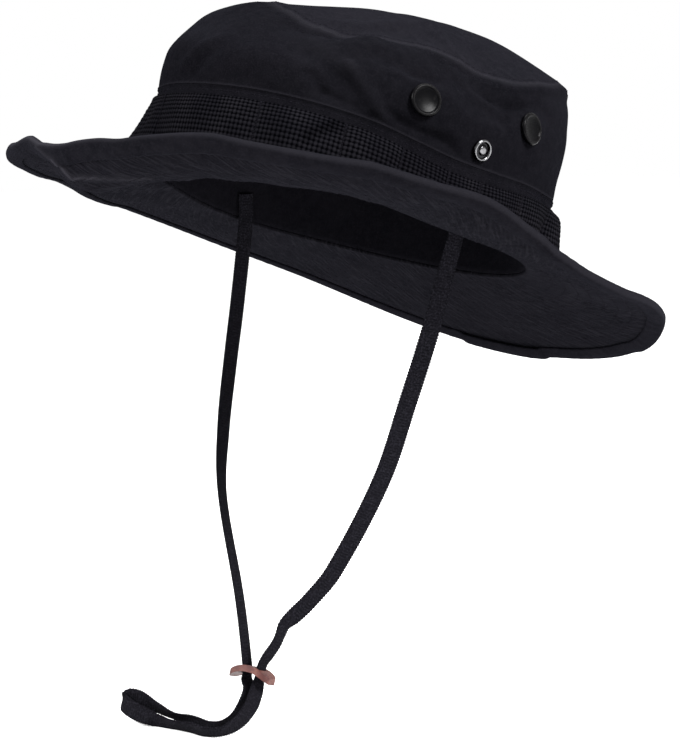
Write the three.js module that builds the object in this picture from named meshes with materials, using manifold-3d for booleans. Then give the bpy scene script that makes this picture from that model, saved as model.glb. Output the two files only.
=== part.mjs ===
// A black bush hat, held up as a head holds it, with its chin strap hanging to the surface below.
// Millimetres and degrees. The origin is the middle of the head opening, +Z is up, the hat's front
// looks towards -Y and the wearer's left is +X. The hat itself is built level in its own frame and
// then tipped back about the origin. The strap hangs plumb, so it is built in the outer frame.
import * as THREE from 'three';
import { mergeVertices } from 'three/addons/utils/BufferGeometryUtils.js';
import loadManifold from 'manifold-3d';

// Driving sizes
const TIPPED_BACK = 18.4;
const HEAD_OPENING = { halfLength: 104.5, halfWidth: 87.5 };
const CLOTH = 2;
const SEAM_GAP = 0.3;
const SEAT_GAP = 0.4;
const WEBBING = { thickness: 1.6, bottom: 2.5, top: 27.5 };
const BRIM = { thickness: 1.6, inset: 2, drop: 1.1, curl: 1.3, ease: 0.05 };
const BINDING = { cloth: 1, reach: 9.5, clearance: 0.3 };
const STRAP = { width: 8.8, thickness: 1.4, corner: 0.45, steps: 68 };
const SLIDER = { thickness: 2.6, arch: 2.6, slotLength: 10.8, slotWidth: 3.2, slotApart: 8.2 };
const VENT = { radius: 7.8, lip: 6.4, height: 1.9, dish: 1.1, boss: 1.6 };
const SNAP = { radius: 5.4, well: 3.6, height: 1.7, wellDepth: 1.1, dome: 2.3, domeHeight: 1.5 };

const CROWN_STEPS = 72;
const BRIM_STEPS = 64;

const CLOTH_BLACK = { color: 0x17171c, roughness: 0.9, metalness: 0 };
const WEBBING_BLACK = { color: 0x131316, roughness: 0.95, metalness: 0 };
const BLACKENED_METAL = { color: 0x0e0e10, roughness: 0.3, metalness: 0.4 };
const NICKEL = { color: 0xc8c8c8, roughness: 0.25, metalness: 1 };
const LEATHER_BROWN = { color: 0x93493c, roughness: 0.65, metalness: 0 };

// The crown from the brim seam up to its peak: each section is an ellipse at a height, set back from
// the head opening's middle. `slouch` and `sag` say how much of those two tables reaches it.
const SECTIONS = [
  { name: 'brim seam', up: 0, setBack: 0, halfLength: 104.5, halfWidth: 87.5, slouch: 0, sag: 0.4 },
  { name: 'webbing top', up: 28, setBack: 0.5, halfLength: 105, halfWidth: 86.5, slouch: 0, sag: 1 },
  { name: 'tuck seam', up: 34.5, setBack: 0.5, halfLength: 104.8, halfWidth: 86, slouch: 0, sag: 0.8 },
  { name: 'low wall', up: 54, setBack: 1.2, halfLength: 106.5, halfWidth: 88.5, slouch: 0.2, sag: 0.4 },
  { name: 'high wall', up: 72, setBack: 7.6, halfLength: 101, halfWidth: 84, slouch: 0.55, sag: 0.1 },
  { name: 'shoulder', up: 86, setBack: 13.5, halfLength: 92.5, halfWidth: 78, slouch: 0.85, sag: 0 },
  { name: 'top seam', up: 95, setBack: 19, halfLength: 83, halfWidth: 71, slouch: 1, sag: 0 },
  { name: 'top panel', up: 103, setBack: 19, halfLength: 47, halfWidth: 40, slouch: 0.35, sag: 0 },
  { name: 'peak', up: 106, setBack: 19, halfLength: 0, halfWidth: 0, slouch: 0, sag: 0 },
];
const TUCK_SEAM = 2;
const TOP_SEAM = 6;
const PEAK = 8;

// How far the top seam sinks at each angle, counted from the front towards the wearer's left
const SLOUCH = [
  { angle: 0, drop: 11 },
  { angle: 15, drop: 17 },
  { angle: 30, drop: 21 },
  { angle: 45, drop: 18.5 },
  { angle: 60, drop: 17 },
  { angle: 72, drop: 17.5 },
  { angle: 82, drop: 20 },
  { angle: 93, drop: 18 },
  { angle: 105, drop: 14 },
  { angle: 122, drop: 6.5 },
  { angle: 140, drop: 1 },
  { angle: 180, drop: -1 },
  { angle: 220, drop: -2 },
  { angle: 250, drop: 2 },
  { angle: 285, drop: 7 },
  { angle: 310, drop: 6 },
  { angle: 335, drop: 7 },
];

// How far the seams around the head sink at each angle, most of all over the ears
const SEAT_LINE = [
  { angle: 0, drop: 0 },
  { angle: 35, drop: -1 },
  { angle: 60, drop: 0.5 },
  { angle: 74, drop: 4 },
  { angle: 86, drop: 6 },
  { angle: 100, drop: 4.5 },
  { angle: 120, drop: 0.5 },
  { angle: 145, drop: -1.5 },
  { angle: 180, drop: -1.5 },
  { angle: 215, drop: -1.5 },
  { angle: 240, drop: 0.5 },
  { angle: 260, drop: 4.5 },
  { angle: 280, drop: 5 },
  { angle: 300, drop: 0.5 },
  { angle: 325, drop: -1 },
];

// Folds and dents of the crown: a crease from one place to another, pushed in (or out, if negative)
const FOLDS = [
  { fromAngle: 20, fromUp: 92, toAngle: 52, toUp: 50, width: 11, depth: 3 },
  { fromAngle: 44, fromUp: 90, toAngle: 60, toUp: 66, width: 10, depth: -2 },
  { fromAngle: 74, fromUp: 88, toAngle: 88, toUp: 64, width: 11, depth: 3 },
  { fromAngle: 92, fromUp: 82, toAngle: 99, toUp: 66, width: 10, depth: 4 },
  { fromAngle: 246, fromUp: 86, toAngle: 262, toUp: 52, width: 12, depth: 3.5 },
  { fromAngle: 312, fromUp: 86, toAngle: 330, toUp: 58, width: 12, depth: 2.5 },
];
const UNROLLED = 1.68;

// The brim at each angle: its slope where it leaves the crown, its slope at the rim and its width
const BRIM_ROWS = [
  { angle: 0, start: -56, end: 40, width: 64 },
  { angle: 20, start: -51, end: 50, width: 65 },
  { angle: 40, start: -34, end: 38, width: 66 },
  { angle: 60, start: -18, end: 27, width: 67 },
  { angle: 75, start: -10, end: 20, width: 68 },
  { angle: 88, start: -12, end: 5, width: 68 },
  { angle: 100, start: -11, end: 1, width: 69 },
  { angle: 115, start: -13, end: -1, width: 69 },
  { angle: 130, start: -13, end: 1, width: 70 },
  { angle: 145, start: -12, end: -1, width: 72 },
  { angle: 165, start: -15, end: -14, width: 74 },
  { angle: 185, start: -17, end: -20, width: 75 },
  { angle: 210, start: -17, end: -14, width: 74 },
  { angle: 240, start: -10, end: -4, width: 72 },
  { angle: 270, start: -7, end: 3, width: 71 },
  { angle: 300, start: -13, end: 6, width: 70 },
  { angle: 325, start: -29, end: 13, width: 67 },
  { angle: 345, start: -45, end: 34, width: 64 },
];

// Bar tacks hold the webbing down, and between two of them its loop stands proud of the crown
const LOOPS = [
  { from: -28, to: 4, proud: 4 },
  { from: 4, to: 31, proud: 1.5 },
  { from: 31, to: 51, proud: 2.5 },
  { from: 51, to: 73, proud: 3 },
  { from: 73, to: 88, proud: 2 },
  { from: 88, to: 99, proud: 1.5 },
  { from: 99, to: 117, proud: 2.5 },
  { from: 117, to: 135, proud: 2 },
  { from: 135, to: 158, proud: 5 },
  { from: 158, to: 182, proud: 3 },
  { from: 182, to: 208, proud: 3 },
  { from: 208, to: 234, proud: 2.5 },
  { from: 234, to: 258, proud: 2 },
  { from: 258, to: 282, proud: 3 },
  { from: 282, to: 308, proud: 2 },
  { from: 308, to: 332, proud: 3 },
];

// Hardware on the crown and on the top of the brim, mirrored from the wearer's left to the right
const VENTS = [
  { name: 'front', angle: 72, up: 53.5 },
  { name: 'back', angle: 107, up: 61 },
];
const CROWN_SNAP = { angle: 92.5, up: 42.5 };
const BRIM_SNAP = { angle: 97, along: 0.77 };
const SMOOTH = { inside: 9, outside: 20 };

// The strap's route, from the wearer's left side down to the slider, round its loop on the surface
// below and up to the right side. `turn` and `rise` point along the tape's width: a compass turn
// from +X towards +Y, and its rise above level.
const STRAP_ROUTE = [
  { x: 83.7, y: 5.5, z: 8, turn: 90, rise: 0 },
  { x: 83.3, y: 5.3, z: -4, turn: 89, rise: 0 },
  { x: 81.3, y: 2.2, z: -18.5, turn: 76, rise: 0 },
  { x: 74.7, y: -3.1, z: -50.4, turn: 60, rise: 0 },
  { x: 64, y: -7.5, z: -84, turn: 54, rise: 0 },
  { x: 48.2, y: -11, z: -123.5, turn: 54, rise: 0 },
  { x: 24, y: -21.3, z: -170.2, turn: 58, rise: 0 },
  { x: 14.6, y: -31.4, z: -184.6, turn: 72, rise: 0 },
  { x: 9, y: -40.6, z: -195.1, turn: 102, rise: 0 },
  { x: 5.6, y: -46, z: -207, turn: 120, rise: 0 },
  { x: 2.9, y: -48.7, z: -216.5, turn: 116, rise: 0 },
  { x: 2.9, y: -50.5, z: -223.3, turn: 116, rise: 0 },
  { x: 5.4, y: -55, z: -229, turn: 130, rise: 0 },
  { x: 9.6, y: -63.6, z: -236.2, turn: 155, rise: 0 },
  { x: 12.8, y: -74, z: -241, turn: 178, rise: 0 },
  { x: 12.3, y: -84.8, z: -243, turn: 150, rise: 6 },
  { x: 5.2, y: -91.6, z: -242.6, turn: 115, rise: 16 },
  { x: -6.4, y: -93.6, z: -242, turn: 98, rise: 24 },
  { x: -17.5, y: -95.7, z: -241.4, turn: 94, rise: 36 },
  { x: -28, y: -99, z: -239, turn: 92, rise: 54 },
  { x: -37.5, y: -100.5, z: -236, turn: 88, rise: 70 },
  { x: -44.5, y: -98, z: -233.5, turn: 80, rise: 76 },
  { x: -42, y: -93.4, z: -232.5, turn: 84, rise: 72 },
  { x: -33, y: -92, z: -235, turn: 96, rise: 56 },
  { x: -24, y: -89, z: -238, turn: 108, rise: 38 },
  { x: -14.8, y: -84.2, z: -240.2, turn: 118, rise: 24 },
  { x: -8.2, y: -79.5, z: -241.4, turn: 128, rise: 16 },
  { x: -2.6, y: -73.5, z: -242.2, turn: 140, rise: 8 },
  { x: 1.4, y: -66.8, z: -240.8, turn: 148, rise: 2 },
  { x: 2, y: -60.8, z: -235.8, turn: 146, rise: 0 },
  { x: -0.8, y: -56, z: -228.8, turn: 130, rise: 0 },
  { x: -4.3, y: -53.7, z: -222.6, turn: 116, rise: 0 },
  { x: -4.3, y: -52.2, z: -216.8, turn: 117, rise: 0 },
  { x: -14, y: -50.2, z: -184.2, turn: 129, rise: 0 },
  { x: -36, y: -44.2, z: -135.7, turn: 119, rise: 0 },
  { x: -53, y: -31, z: -106, turn: 106, rise: 0 },
  { x: -68, y: -16, z: -76, turn: 98, rise: 0 },
  { x: -78, y: -4, z: -46, turn: 92, rise: 0 },
  { x: -83.3, y: 5.3, z: -4, turn: 89, rise: 0 },
  { x: -83.7, y: 5.5, z: 8, turn: 90, rise: 0 },
];
// The slider's outline, from its middle out to either end
const SLIDER_OUTLINE = [
  { along: 11, width: 6 },
  { along: 10.4, width: 9 },
  { along: 9, width: 11.8 },
  { along: 6.2, width: 13.8 },
  { along: 0, width: 14.4 },
];
const SLIDER_PLACE = { x: -0.7, y: -51.2, z: -219.6, turn: 25, dip: 6, leanBack: 20 };

const manifold = await loadManifold();
manifold.setup();

const radians = THREE.MathUtils.degToRad;
const { lerp, smoothstep } = THREE.MathUtils;

// A smooth step between b and c that leaves b and reaches c along the lines through their neighbours
function smooth(a, b, c, d, part) {
  const rise = (c.value - a.value) / (c.at - a.at) * (c.at - b.at);
  const fall = (d.value - b.value) / (d.at - b.at) * (c.at - b.at);
  const part2 = part * part;
  const part3 = part2 * part;
  return b.value * (2 * part3 - 3 * part2 + 1) + rise * (part3 - 2 * part2 + part)
    + c.value * (3 * part2 - 2 * part3) + fall * (part3 - part2);
}

// One column of a table that runs all the way round, at any angle
function around(rows, column, angle) {
  const turned = ((angle % 360) + 360) % 360;
  const row = (index) => {
    const lap = Math.floor(index / rows.length);
    const { angle: at, [column]: value } = rows[index - lap * rows.length];
    return { at: at + 360 * lap, value };
  };
  const here = rows.findLastIndex((entry) => entry.angle <= turned);
  const [a, b, c, d] = [here - 1, here, here + 1, here + 2].map(row);
  return smooth(a, b, c, d, (turned - b.at) / (c.at - b.at));
}

// One column of the crown's sections, at a level between them
function section(column, level) {
  const row = (index) => {
    const last = SECTIONS.length - 1;
    const inside = Math.min(Math.max(index, 0), last);
    const value = SECTIONS[inside][column];
    if (index === inside) return { at: index, value };
    const next = SECTIONS[inside === 0 ? 1 : last - 1][column];
    return { at: index, value: 2 * value - next };
  };
  const here = Math.min(Math.floor(level), SECTIONS.length - 2);
  const [a, b, c, d] = [here - 1, here, here + 1, here + 2].map(row);
  return smooth(a, b, c, d, level - here);
}

// How far a fold presses in at a place on the unrolled wall: deepest along its line, fading off it
function foldDepth(fold, angle, up) {
  const across = (from, to) => ((to - from + 540) % 360 - 180) * UNROLLED;
  const run = new THREE.Vector2(across(fold.fromAngle, fold.toAngle), fold.toUp - fold.fromUp);
  const place = new THREE.Vector2(across(fold.fromAngle, angle), up - fold.fromUp);
  const part = Math.min(Math.max(place.dot(run) / run.lengthSq(), 0), 1);
  const off = place.distanceTo(run.clone().multiplyScalar(part));
  return fold.depth * Math.exp(-((off / fold.width) ** 2));
}

// The crown's outer face, before its folds
function crownForm(angle, level) {
  const turn = radians(angle);
  const up = section('up', level);
  return new THREE.Vector3(
    section('halfWidth', level) * Math.sin(turn),
    section('setBack', level) - section('halfLength', level) * Math.cos(turn),
    up - section('slouch', level) * around(SLOUCH, 'drop', angle)
      - section('sag', level) * around(SEAT_LINE, 'drop', angle),
  );
}

function crownNormal(angle, level) {
  const step = 0.02;
  const along = crownForm(angle + 1, level).sub(crownForm(angle - 1, level));
  const upward = crownForm(angle, Math.min(level + step, PEAK)).sub(crownForm(angle, Math.max(level - step, 0)));
  return along.cross(upward).normalize();
}

// Folds fade out at the seams and under the hardware, which holds the cloth flat
function foldShare(angle, level, up) {
  const seams = smoothstep(level, TUCK_SEAM, TUCK_SEAM + 0.6) * (1 - smoothstep(level, TOP_SEAM - 0.4, TOP_SEAM));
  const clear = [...VENTS, CROWN_SNAP].map((held) => {
    const across = Math.min(Math.abs(angle - held.angle), Math.abs(360 - angle - held.angle)) * UNROLLED;
    return smoothstep(Math.hypot(across, up - held.up), SMOOTH.inside, SMOOTH.outside);
  });
  return seams * Math.min(...clear);
}

// A point on the crown, `outwards` from its outer face along the face's normal
function crownPoint(angle, level, outwards = 0) {
  const up = section('up', level);
  const depth = FOLDS.reduce((sum, fold) => sum + foldDepth(fold, angle, up), 0);
  const pressed = depth * foldShare(angle, level, up);
  return crownForm(angle, level).addScaledVector(crownNormal(angle, level), outwards - pressed);
}

// The level at which the crown's sections stand at a height, below the top seam
function levelAt(up) {
  const above = SECTIONS.findIndex((row) => row.up > up);
  const [low, high] = [SECTIONS[above - 1], SECTIONS[above]];
  return above - 1 + (up - low.up) / (high.up - low.up);
}

// The brim's middle layer at a share `along` of its width, `over` above it square to the cloth
function brimPoint(angle, along, over = 0, beyond = 0) {
  const start = radians(around(BRIM_ROWS, 'start', angle));
  const end = radians(around(BRIM_ROWS, 'end', angle));
  const width = around(BRIM_ROWS, 'width', angle);
  const slopeAt = (share) => start * Math.min(1, share / BRIM.ease) + (end - start) * share ** BRIM.curl;
  const steps = 40;
  let out = -BRIM.inset;
  let up = -BRIM.drop;
  for (let step = 0; step < steps; step += 1) {
    const slope = slopeAt((step + 0.5) / steps * along);
    out += Math.cos(slope) * width * along / steps;
    up += Math.sin(slope) * width * along / steps;
  }
  const slope = slopeAt(along);
  out += Math.cos(slope) * beyond - Math.sin(slope) * over;
  up += Math.sin(slope) * beyond + Math.cos(slope) * over;
  const turn = radians(angle);
  const { halfLength, halfWidth } = HEAD_OPENING;
  const outward = new THREE.Vector3(halfLength * Math.sin(turn), -halfWidth * Math.cos(turn), 0).normalize();
  const seam = up - SECTIONS[0].sag * around(SEAT_LINE, 'drop', angle);
  return new THREE.Vector3(halfWidth * Math.sin(turn), -halfLength * Math.cos(turn), seam)
    .addScaledVector(outward, out);
}

// A closed mesh whose faces point out, whichever way round its triangles were listed
function closedMesh(points, triangles) {
  const volume = triangles.reduce((sum, [a, b, c]) => (
    sum + points[a].dot(points[b].clone().cross(points[c]))
  ), 0);
  const index = volume > 0 ? triangles.flat() : triangles.flatMap(([a, b, c]) => [a, c, b]);
  const geometry = new THREE.BufferGeometry();
  geometry.setAttribute('position', new THREE.Float32BufferAttribute(points.flatMap((p) => p.toArray()), 3));
  geometry.setIndex(index);
  geometry.computeVertexNormals();
  return geometry;
}

// A solid that runs round the hat: outline(angle) gives the points of its section in order
function ringSolid(outline, steps) {
  const outlines = Array.from({ length: steps }, (_, step) => outline(360 * step / steps));
  const count = outlines[0].length;
  const triangles = [];
  for (let ring = 0; ring < steps; ring += 1) {
    const next = (ring + 1) % steps;
    for (let side = 0; side < count; side += 1) {
      const after = (side + 1) % count;
      const [a, b, c, d] = [ring * count + side, next * count + side, next * count + after, ring * count + after];
      triangles.push([a, b, c], [a, c, d]);
    }
  }
  return closedMesh(outlines.flat(), triangles);
}

// A solid swept from end to end: sections in order, each with the same number of points
function barSolid(sections) {
  const count = sections[0].length;
  const triangles = [];
  for (let ring = 0; ring + 1 < sections.length; ring += 1) {
    for (let side = 0; side < count; side += 1) {
      const after = (side + 1) % count;
      const [a, b] = [ring * count + side, (ring + 1) * count + side];
      const [c, d] = [(ring + 1) * count + after, ring * count + after];
      triangles.push([a, b, c], [a, c, d]);
    }
  }
  const last = (sections.length - 1) * count;
  for (let side = 1; side + 1 < count; side += 1) {
    triangles.push([0, side, side + 1], [last, last + side + 1, last + side]);
  }
  return closedMesh(sections.flat(), triangles);
}

// Cloth of the crown between two levels, with an outer and an inner face
function crownWall(fromLevel, toLevel, rows, thickness = CLOTH, outwards = () => 0) {
  return ringSolid((angle) => {
    const face = (depth) => Array.from({ length: rows + 1 }, (_, row) => {
      const level = lerp(fromLevel, toLevel, row / rows);
      return crownPoint(angle, level, outwards(angle, row / rows) - depth);
    });
    return [...face(0), ...face(thickness).reverse()];
  }, CROWN_STEPS);
}

// The top panel: rings from the seam in to the peak, on both faces, closed at the peak
function crownTop() {
  const rings = 4;
  const from = TOP_SEAM + SEAM_GAP / 18;
  const points = [];
  const ringStart = (face, ring) => (face * rings + ring) * CROWN_STEPS;
  for (const depth of [0, CLOTH]) {
    for (let ring = 0; ring < rings; ring += 1) {
      const level = lerp(from, PEAK, (ring / rings) ** 0.9);
      for (let step = 0; step < CROWN_STEPS; step += 1) {
        points.push(crownPoint(360 * step / CROWN_STEPS, level, -depth));
      }
    }
  }
  const peak = crownForm(0, PEAK);
  const tips = [points.push(peak) - 1, points.push(peak.clone().setZ(peak.z - CLOTH)) - 1];
  const triangles = [];
  const band = (lower, upper, flip) => {
    for (let step = 0; step < CROWN_STEPS; step += 1) {
      const next = (step + 1) % CROWN_STEPS;
      const pair = [[lower + step, lower + next, upper + next], [lower + step, upper + next, upper + step]];
      triangles.push(...pair.map(([a, b, c]) => (flip ? [a, c, b] : [a, b, c])));
    }
  };
  for (const face of [0, 1]) {
    for (let ring = 0; ring + 1 < rings; ring += 1) band(ringStart(face, ring), ringStart(face, ring + 1), face === 1);
    const last = ringStart(face, rings - 1);
    for (let step = 0; step < CROWN_STEPS; step += 1) {
      const next = (step + 1) % CROWN_STEPS;
      triangles.push(face ? [last + step, tips[1], last + next] : [last + step, last + next, tips[0]]);
    }
  }
  band(ringStart(0, 0), ringStart(1, 0), true);
  return closedMesh(points, triangles);
}

// How far the webbing stands proud of its seat at an angle: pinched to nothing at each bar tack
function loopProud(angle) {
  const first = LOOPS[0].from;
  const turned = first + (((angle - first) % 360) + 360) % 360;
  const loop = LOOPS.find(({ from, to }) => turned >= from && turned < to);
  const part = (turned - loop.from) / (loop.to - loop.from);
  return loop.proud * Math.sin(Math.PI * part) ** 0.8;
}

function foliageBand() {
  const bulge = (angle, row) => (
    SEAM_GAP + WEBBING.thickness + loopProud(angle) * (0.35 + 0.65 * Math.sin(Math.PI * row))
  );
  const [bottom, top] = [levelAt(WEBBING.bottom), levelAt(WEBBING.top)];
  return crownWall(bottom, top, 3, WEBBING.thickness, bulge);
}

function brimCloth() {
  const half = BRIM.thickness / 2;
  return ringSolid((angle) => {
    const width = around(BRIM_ROWS, 'width', angle);
    const shares = [0, 0.05, 0.18, 0.34, 0.5, 0.66, 1 - BINDING.reach / width, 1];
    const face = (over) => shares.map((share) => brimPoint(angle, share, over));
    return [...face(half), ...face(-half).reverse()];
  }, BRIM_STEPS);
}

// The binding: a tape folded over the rim, a channel in section
function brimBinding() {
  const inner = BRIM.thickness / 2 + BINDING.clearance;
  const outer = inner + BINDING.cloth;
  return ringSolid((angle) => {
    const width = around(BRIM_ROWS, 'width', angle);
    const shares = [1 - BINDING.reach / width, 1];
    const arm = (over) => shares.map((share) => brimPoint(angle, share, over));
    const tip = (over, beyond) => brimPoint(angle, 1, over, beyond);
    return [
      ...arm(inner),
      tip(inner, BINDING.clearance),
      tip(-inner, BINDING.clearance),
      ...arm(-inner).reverse(),
      ...arm(-outer),
      tip(-inner, BINDING.clearance + BINDING.cloth),
      tip(inner, BINDING.clearance + BINDING.cloth),
      ...arm(outer).reverse(),
    ];
  }, BRIM_STEPS);
}

// A turned piece on +Z from its profile of radius and height pairs, which starts and ends on the axis
function turned(profile, sides) {
  const geometry = new THREE.LatheGeometry(profile.map(([r, z]) => new THREE.Vector2(r, z)), sides);
  return geometry.rotateX(Math.PI / 2);
}

function ventDisc() {
  const { radius, lip, height, dish, boss } = VENT;
  return turned([
    [0, 0], [radius - 0.3, 0], [radius, height / 2], [lip + 0.4, height],
    [lip - 0.3, dish], [0, boss],
  ], 14);
}

function snapSocket() {
  const { radius, well, height, wellDepth, dome, domeHeight } = SNAP;
  return turned([
    [0, 0], [radius - 0.3, 0], [radius, height / 2], [well + 0.5, height],
    [well, height - wellDepth], [dome, height - wellDepth], [dome - 0.6, domeHeight - 0.2], [0, domeHeight],
  ], 12);
}

function snapStud() {
  const { radius, height, dome } = SNAP;
  return turned([
    [0, 0], [radius, 0], [radius - 0.4, 1], [dome, 1.1], [dome + 0.2, 2.6],
    [dome - 0.4, height + 1.6], [0, height + 1.7],
  ], 12);
}

// The flat tape, swept along its route with its width pointing the way each row says
function chinStrap() {
  const route = new THREE.CatmullRomCurve3(STRAP_ROUTE.map(({ x, y, z }) => new THREE.Vector3(x, y, z)));
  const widths = new THREE.CatmullRomCurve3(STRAP_ROUTE.map(({ turn, rise }) => (
    new THREE.Vector3().setFromSphericalCoords(1, radians(90 - rise), radians(turn + 90)).applyAxisAngle(
      new THREE.Vector3(1, 0, 0), Math.PI / 2)
  )));
  const [half, thick, corner] = [STRAP.width / 2, STRAP.thickness / 2, STRAP.corner];
  const outline = [
    [half - corner, thick], [corner - half, thick], [-half, thick - corner], [-half, corner - thick],
    [corner - half, -thick], [half - corner, -thick], [half, corner - thick], [half, thick - corner],
  ];
  return barSolid(Array.from({ length: STRAP.steps + 1 }, (_, step) => {
    const part = route.getUtoTmapping(step / STRAP.steps);
    const tangent = route.getTangent(part);
    const width = widths.getPoint(part);
    width.addScaledVector(tangent, -width.dot(tangent)).normalize();
    const face = tangent.clone().cross(width);
    return outline.map(([across, over]) => (
      route.getPoint(part).addScaledVector(width, across).addScaledVector(face, over)
    ));
  }));
}

// A closed mesh as a solid that can be cut, its shared corners merged
function cuttable(geometry) {
  const corners = new THREE.BufferGeometry();
  corners.setAttribute('position', geometry.getAttribute('position'));
  corners.setIndex(geometry.index);
  const merged = mergeVertices(corners);
  const vertProperties = merged.getAttribute('position').array;
  const triVerts = new Uint32Array(merged.index.array);
  return new manifold.Manifold(new manifold.Mesh({ numProp: 3, vertProperties, triVerts }));
}

// A mesh with boxes cut out of it, each box as its middle's x, then its sizes
function cutBoxes(geometry, boxes) {
  const cutters = boxes.map(({ middle, size }) => new THREE.BoxGeometry(...size).translate(middle, 0, 0));
  const cut = cutters.reduce((solid, box) => solid.subtract(cuttable(box)), cuttable(geometry)).getMesh();
  const result = new THREE.BufferGeometry();
  result.setAttribute('position', new THREE.BufferAttribute(cut.vertProperties, 3));
  result.setIndex(new THREE.BufferAttribute(cut.triVerts, 1));
  result.computeVertexNormals();
  return result;
}

// The leather slider: a gently arched plate with rounded ends and a slot for each run of the tape
function strapSlider() {
  const { thickness, arch, slotLength, slotWidth, slotApart } = SLIDER;
  const end = SLIDER_OUTLINE[0].along;
  const half = SLIDER_OUTLINE.map(({ along, width }) => ({ x: along, reach: width / 2 }));
  const rows = [...half, ...half.slice(0, -1).reverse().map(({ x, reach }) => ({ x: -x, reach }))];
  const plate = barSolid(rows.map(({ x, reach }) => {
    const middle = arch / 3 - arch * (x / end) ** 2;
    const [low, high] = [middle - thickness / 2, middle + thickness / 2];
    return [[-reach, low], [reach, low], [reach, high], [-reach, high]].map(([y, z]) => new THREE.Vector3(x, y, z));
  }));
  return cutBoxes(plate, [-1, 1].map((side) => (
    { middle: side * slotApart / 2, size: [slotWidth, slotLength, 4 * thickness] }
  )));
}

function piece(name, geometry, finish) {
  const mesh = new THREE.Mesh(geometry, new THREE.MeshStandardMaterial(finish));
  mesh.name = name;
  return mesh;
}

// Seats a turned piece of a given radius on a face given as a function of two turns about its place:
// its axis follows the face's normal, and it clears the highest cloth under it
function seat(mesh, radius, face) {
  const [middle, east, west, north, south] = [[0, 0], [1, 0], [-1, 0], [0, 1], [0, -1]].map(([a, b]) => (
    face(a * radius, b * radius)
  ));
  const normal = east.clone().sub(west).cross(north.clone().sub(south)).normalize();
  const lift = Math.max(0, ...[east, west, north, south].map((point) => point.clone().sub(middle).dot(normal)));
  mesh.quaternion.setFromUnitVectors(new THREE.Vector3(0, 0, 1), normal);
  mesh.position.copy(middle).addScaledVector(normal, lift + SEAT_GAP);
  return mesh;
}

function mirrored(angle, side) {
  return side === 'left' ? angle : 360 - angle;
}

const hat = new THREE.Group();
hat.rotation.x = radians(-TIPPED_BACK);
const tuck = { below: TUCK_SEAM - SEAM_GAP / 13, above: TUCK_SEAM + SEAM_GAP / 40 };
hat.add(
  piece('crown_top', crownTop(), CLOTH_BLACK),
  piece('crown_side', crownWall(tuck.above, TOP_SEAM, 9), CLOTH_BLACK),
  piece('crown_base', crownWall(0, tuck.below, 1), CLOTH_BLACK),
  piece('foliage_band', foliageBand(), WEBBING_BLACK),
  piece('brim', brimCloth(), CLOTH_BLACK),
  piece('brim_binding', brimBinding(), CLOTH_BLACK),
);
for (const side of ['left', 'right']) {
  const onCrown = ({ angle, up }) => (across, upward) => (
    crownPoint(mirrored(angle, side) + across / UNROLLED, levelAt(up + upward))
  );
  for (const vent of VENTS) {
    hat.add(seat(piece(`vent_${side}_${vent.name}`, ventDisc(), BLACKENED_METAL), VENT.radius, onCrown(vent)));
  }
  hat.add(seat(piece(`snap_crown_${side}`, snapSocket(), NICKEL), SNAP.radius, onCrown(CROWN_SNAP)));
  const onBrim = (across, inward) => {
    const angle = mirrored(BRIM_SNAP.angle, side) + THREE.MathUtils.radToDeg(across / HEAD_OPENING.halfLength / 1.5);
    return brimPoint(angle, BRIM_SNAP.along - inward / around(BRIM_ROWS, 'width', angle), BRIM.thickness / 2);
  };
  hat.add(seat(piece(`snap_brim_${side}`, snapStud(), NICKEL), SNAP.radius, onBrim));
}

const slider = piece('strap_slider', strapSlider(), LEATHER_BROWN);
slider.rotation.order = 'ZXY';
slider.rotation.set(radians(-SLIDER_PLACE.leanBack), radians(SLIDER_PLACE.dip), radians(SLIDER_PLACE.turn));
slider.position.set(SLIDER_PLACE.x, SLIDER_PLACE.y, SLIDER_PLACE.z);

const bushHat = new THREE.Group();
bushHat.add(hat, slider, piece('chin_strap', chinStrap(), WEBBING_BLACK));

export default bushHat;
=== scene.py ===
# A black bush hat, held up as a head holds it, with its chin strap hanging to the surface below.
# Sizes are millimetres and degrees in the hat's own level frame, as the maker measures it. The
# hat is tipped back about the middle of its head opening, and everything is turned to metres as
# its mesh is placed. The strap hangs plumb, so its route is in the outer frame.
import math
from collections import namedtuple

import bpy
import numpy as np
from mathutils import Matrix, Vector


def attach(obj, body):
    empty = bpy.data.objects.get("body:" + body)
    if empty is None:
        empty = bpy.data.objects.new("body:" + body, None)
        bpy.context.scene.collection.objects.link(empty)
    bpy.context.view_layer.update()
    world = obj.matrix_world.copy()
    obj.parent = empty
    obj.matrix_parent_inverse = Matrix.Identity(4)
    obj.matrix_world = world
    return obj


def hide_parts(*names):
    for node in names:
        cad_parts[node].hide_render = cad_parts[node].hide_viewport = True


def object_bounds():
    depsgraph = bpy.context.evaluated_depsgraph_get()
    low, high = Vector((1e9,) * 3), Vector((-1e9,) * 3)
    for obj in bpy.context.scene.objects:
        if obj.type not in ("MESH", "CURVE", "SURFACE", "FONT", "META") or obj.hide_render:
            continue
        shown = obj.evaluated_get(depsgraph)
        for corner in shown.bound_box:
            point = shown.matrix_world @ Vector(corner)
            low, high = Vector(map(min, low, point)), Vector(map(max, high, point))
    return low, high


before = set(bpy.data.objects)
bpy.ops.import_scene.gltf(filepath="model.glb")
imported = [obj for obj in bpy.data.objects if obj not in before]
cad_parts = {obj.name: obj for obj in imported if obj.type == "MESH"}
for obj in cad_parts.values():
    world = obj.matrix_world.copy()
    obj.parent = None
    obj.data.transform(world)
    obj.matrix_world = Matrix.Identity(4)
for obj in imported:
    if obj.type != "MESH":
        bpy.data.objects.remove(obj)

CAD_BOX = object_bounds()
MM = 0.001
SEWN_UP = 0.01 * MM

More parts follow.
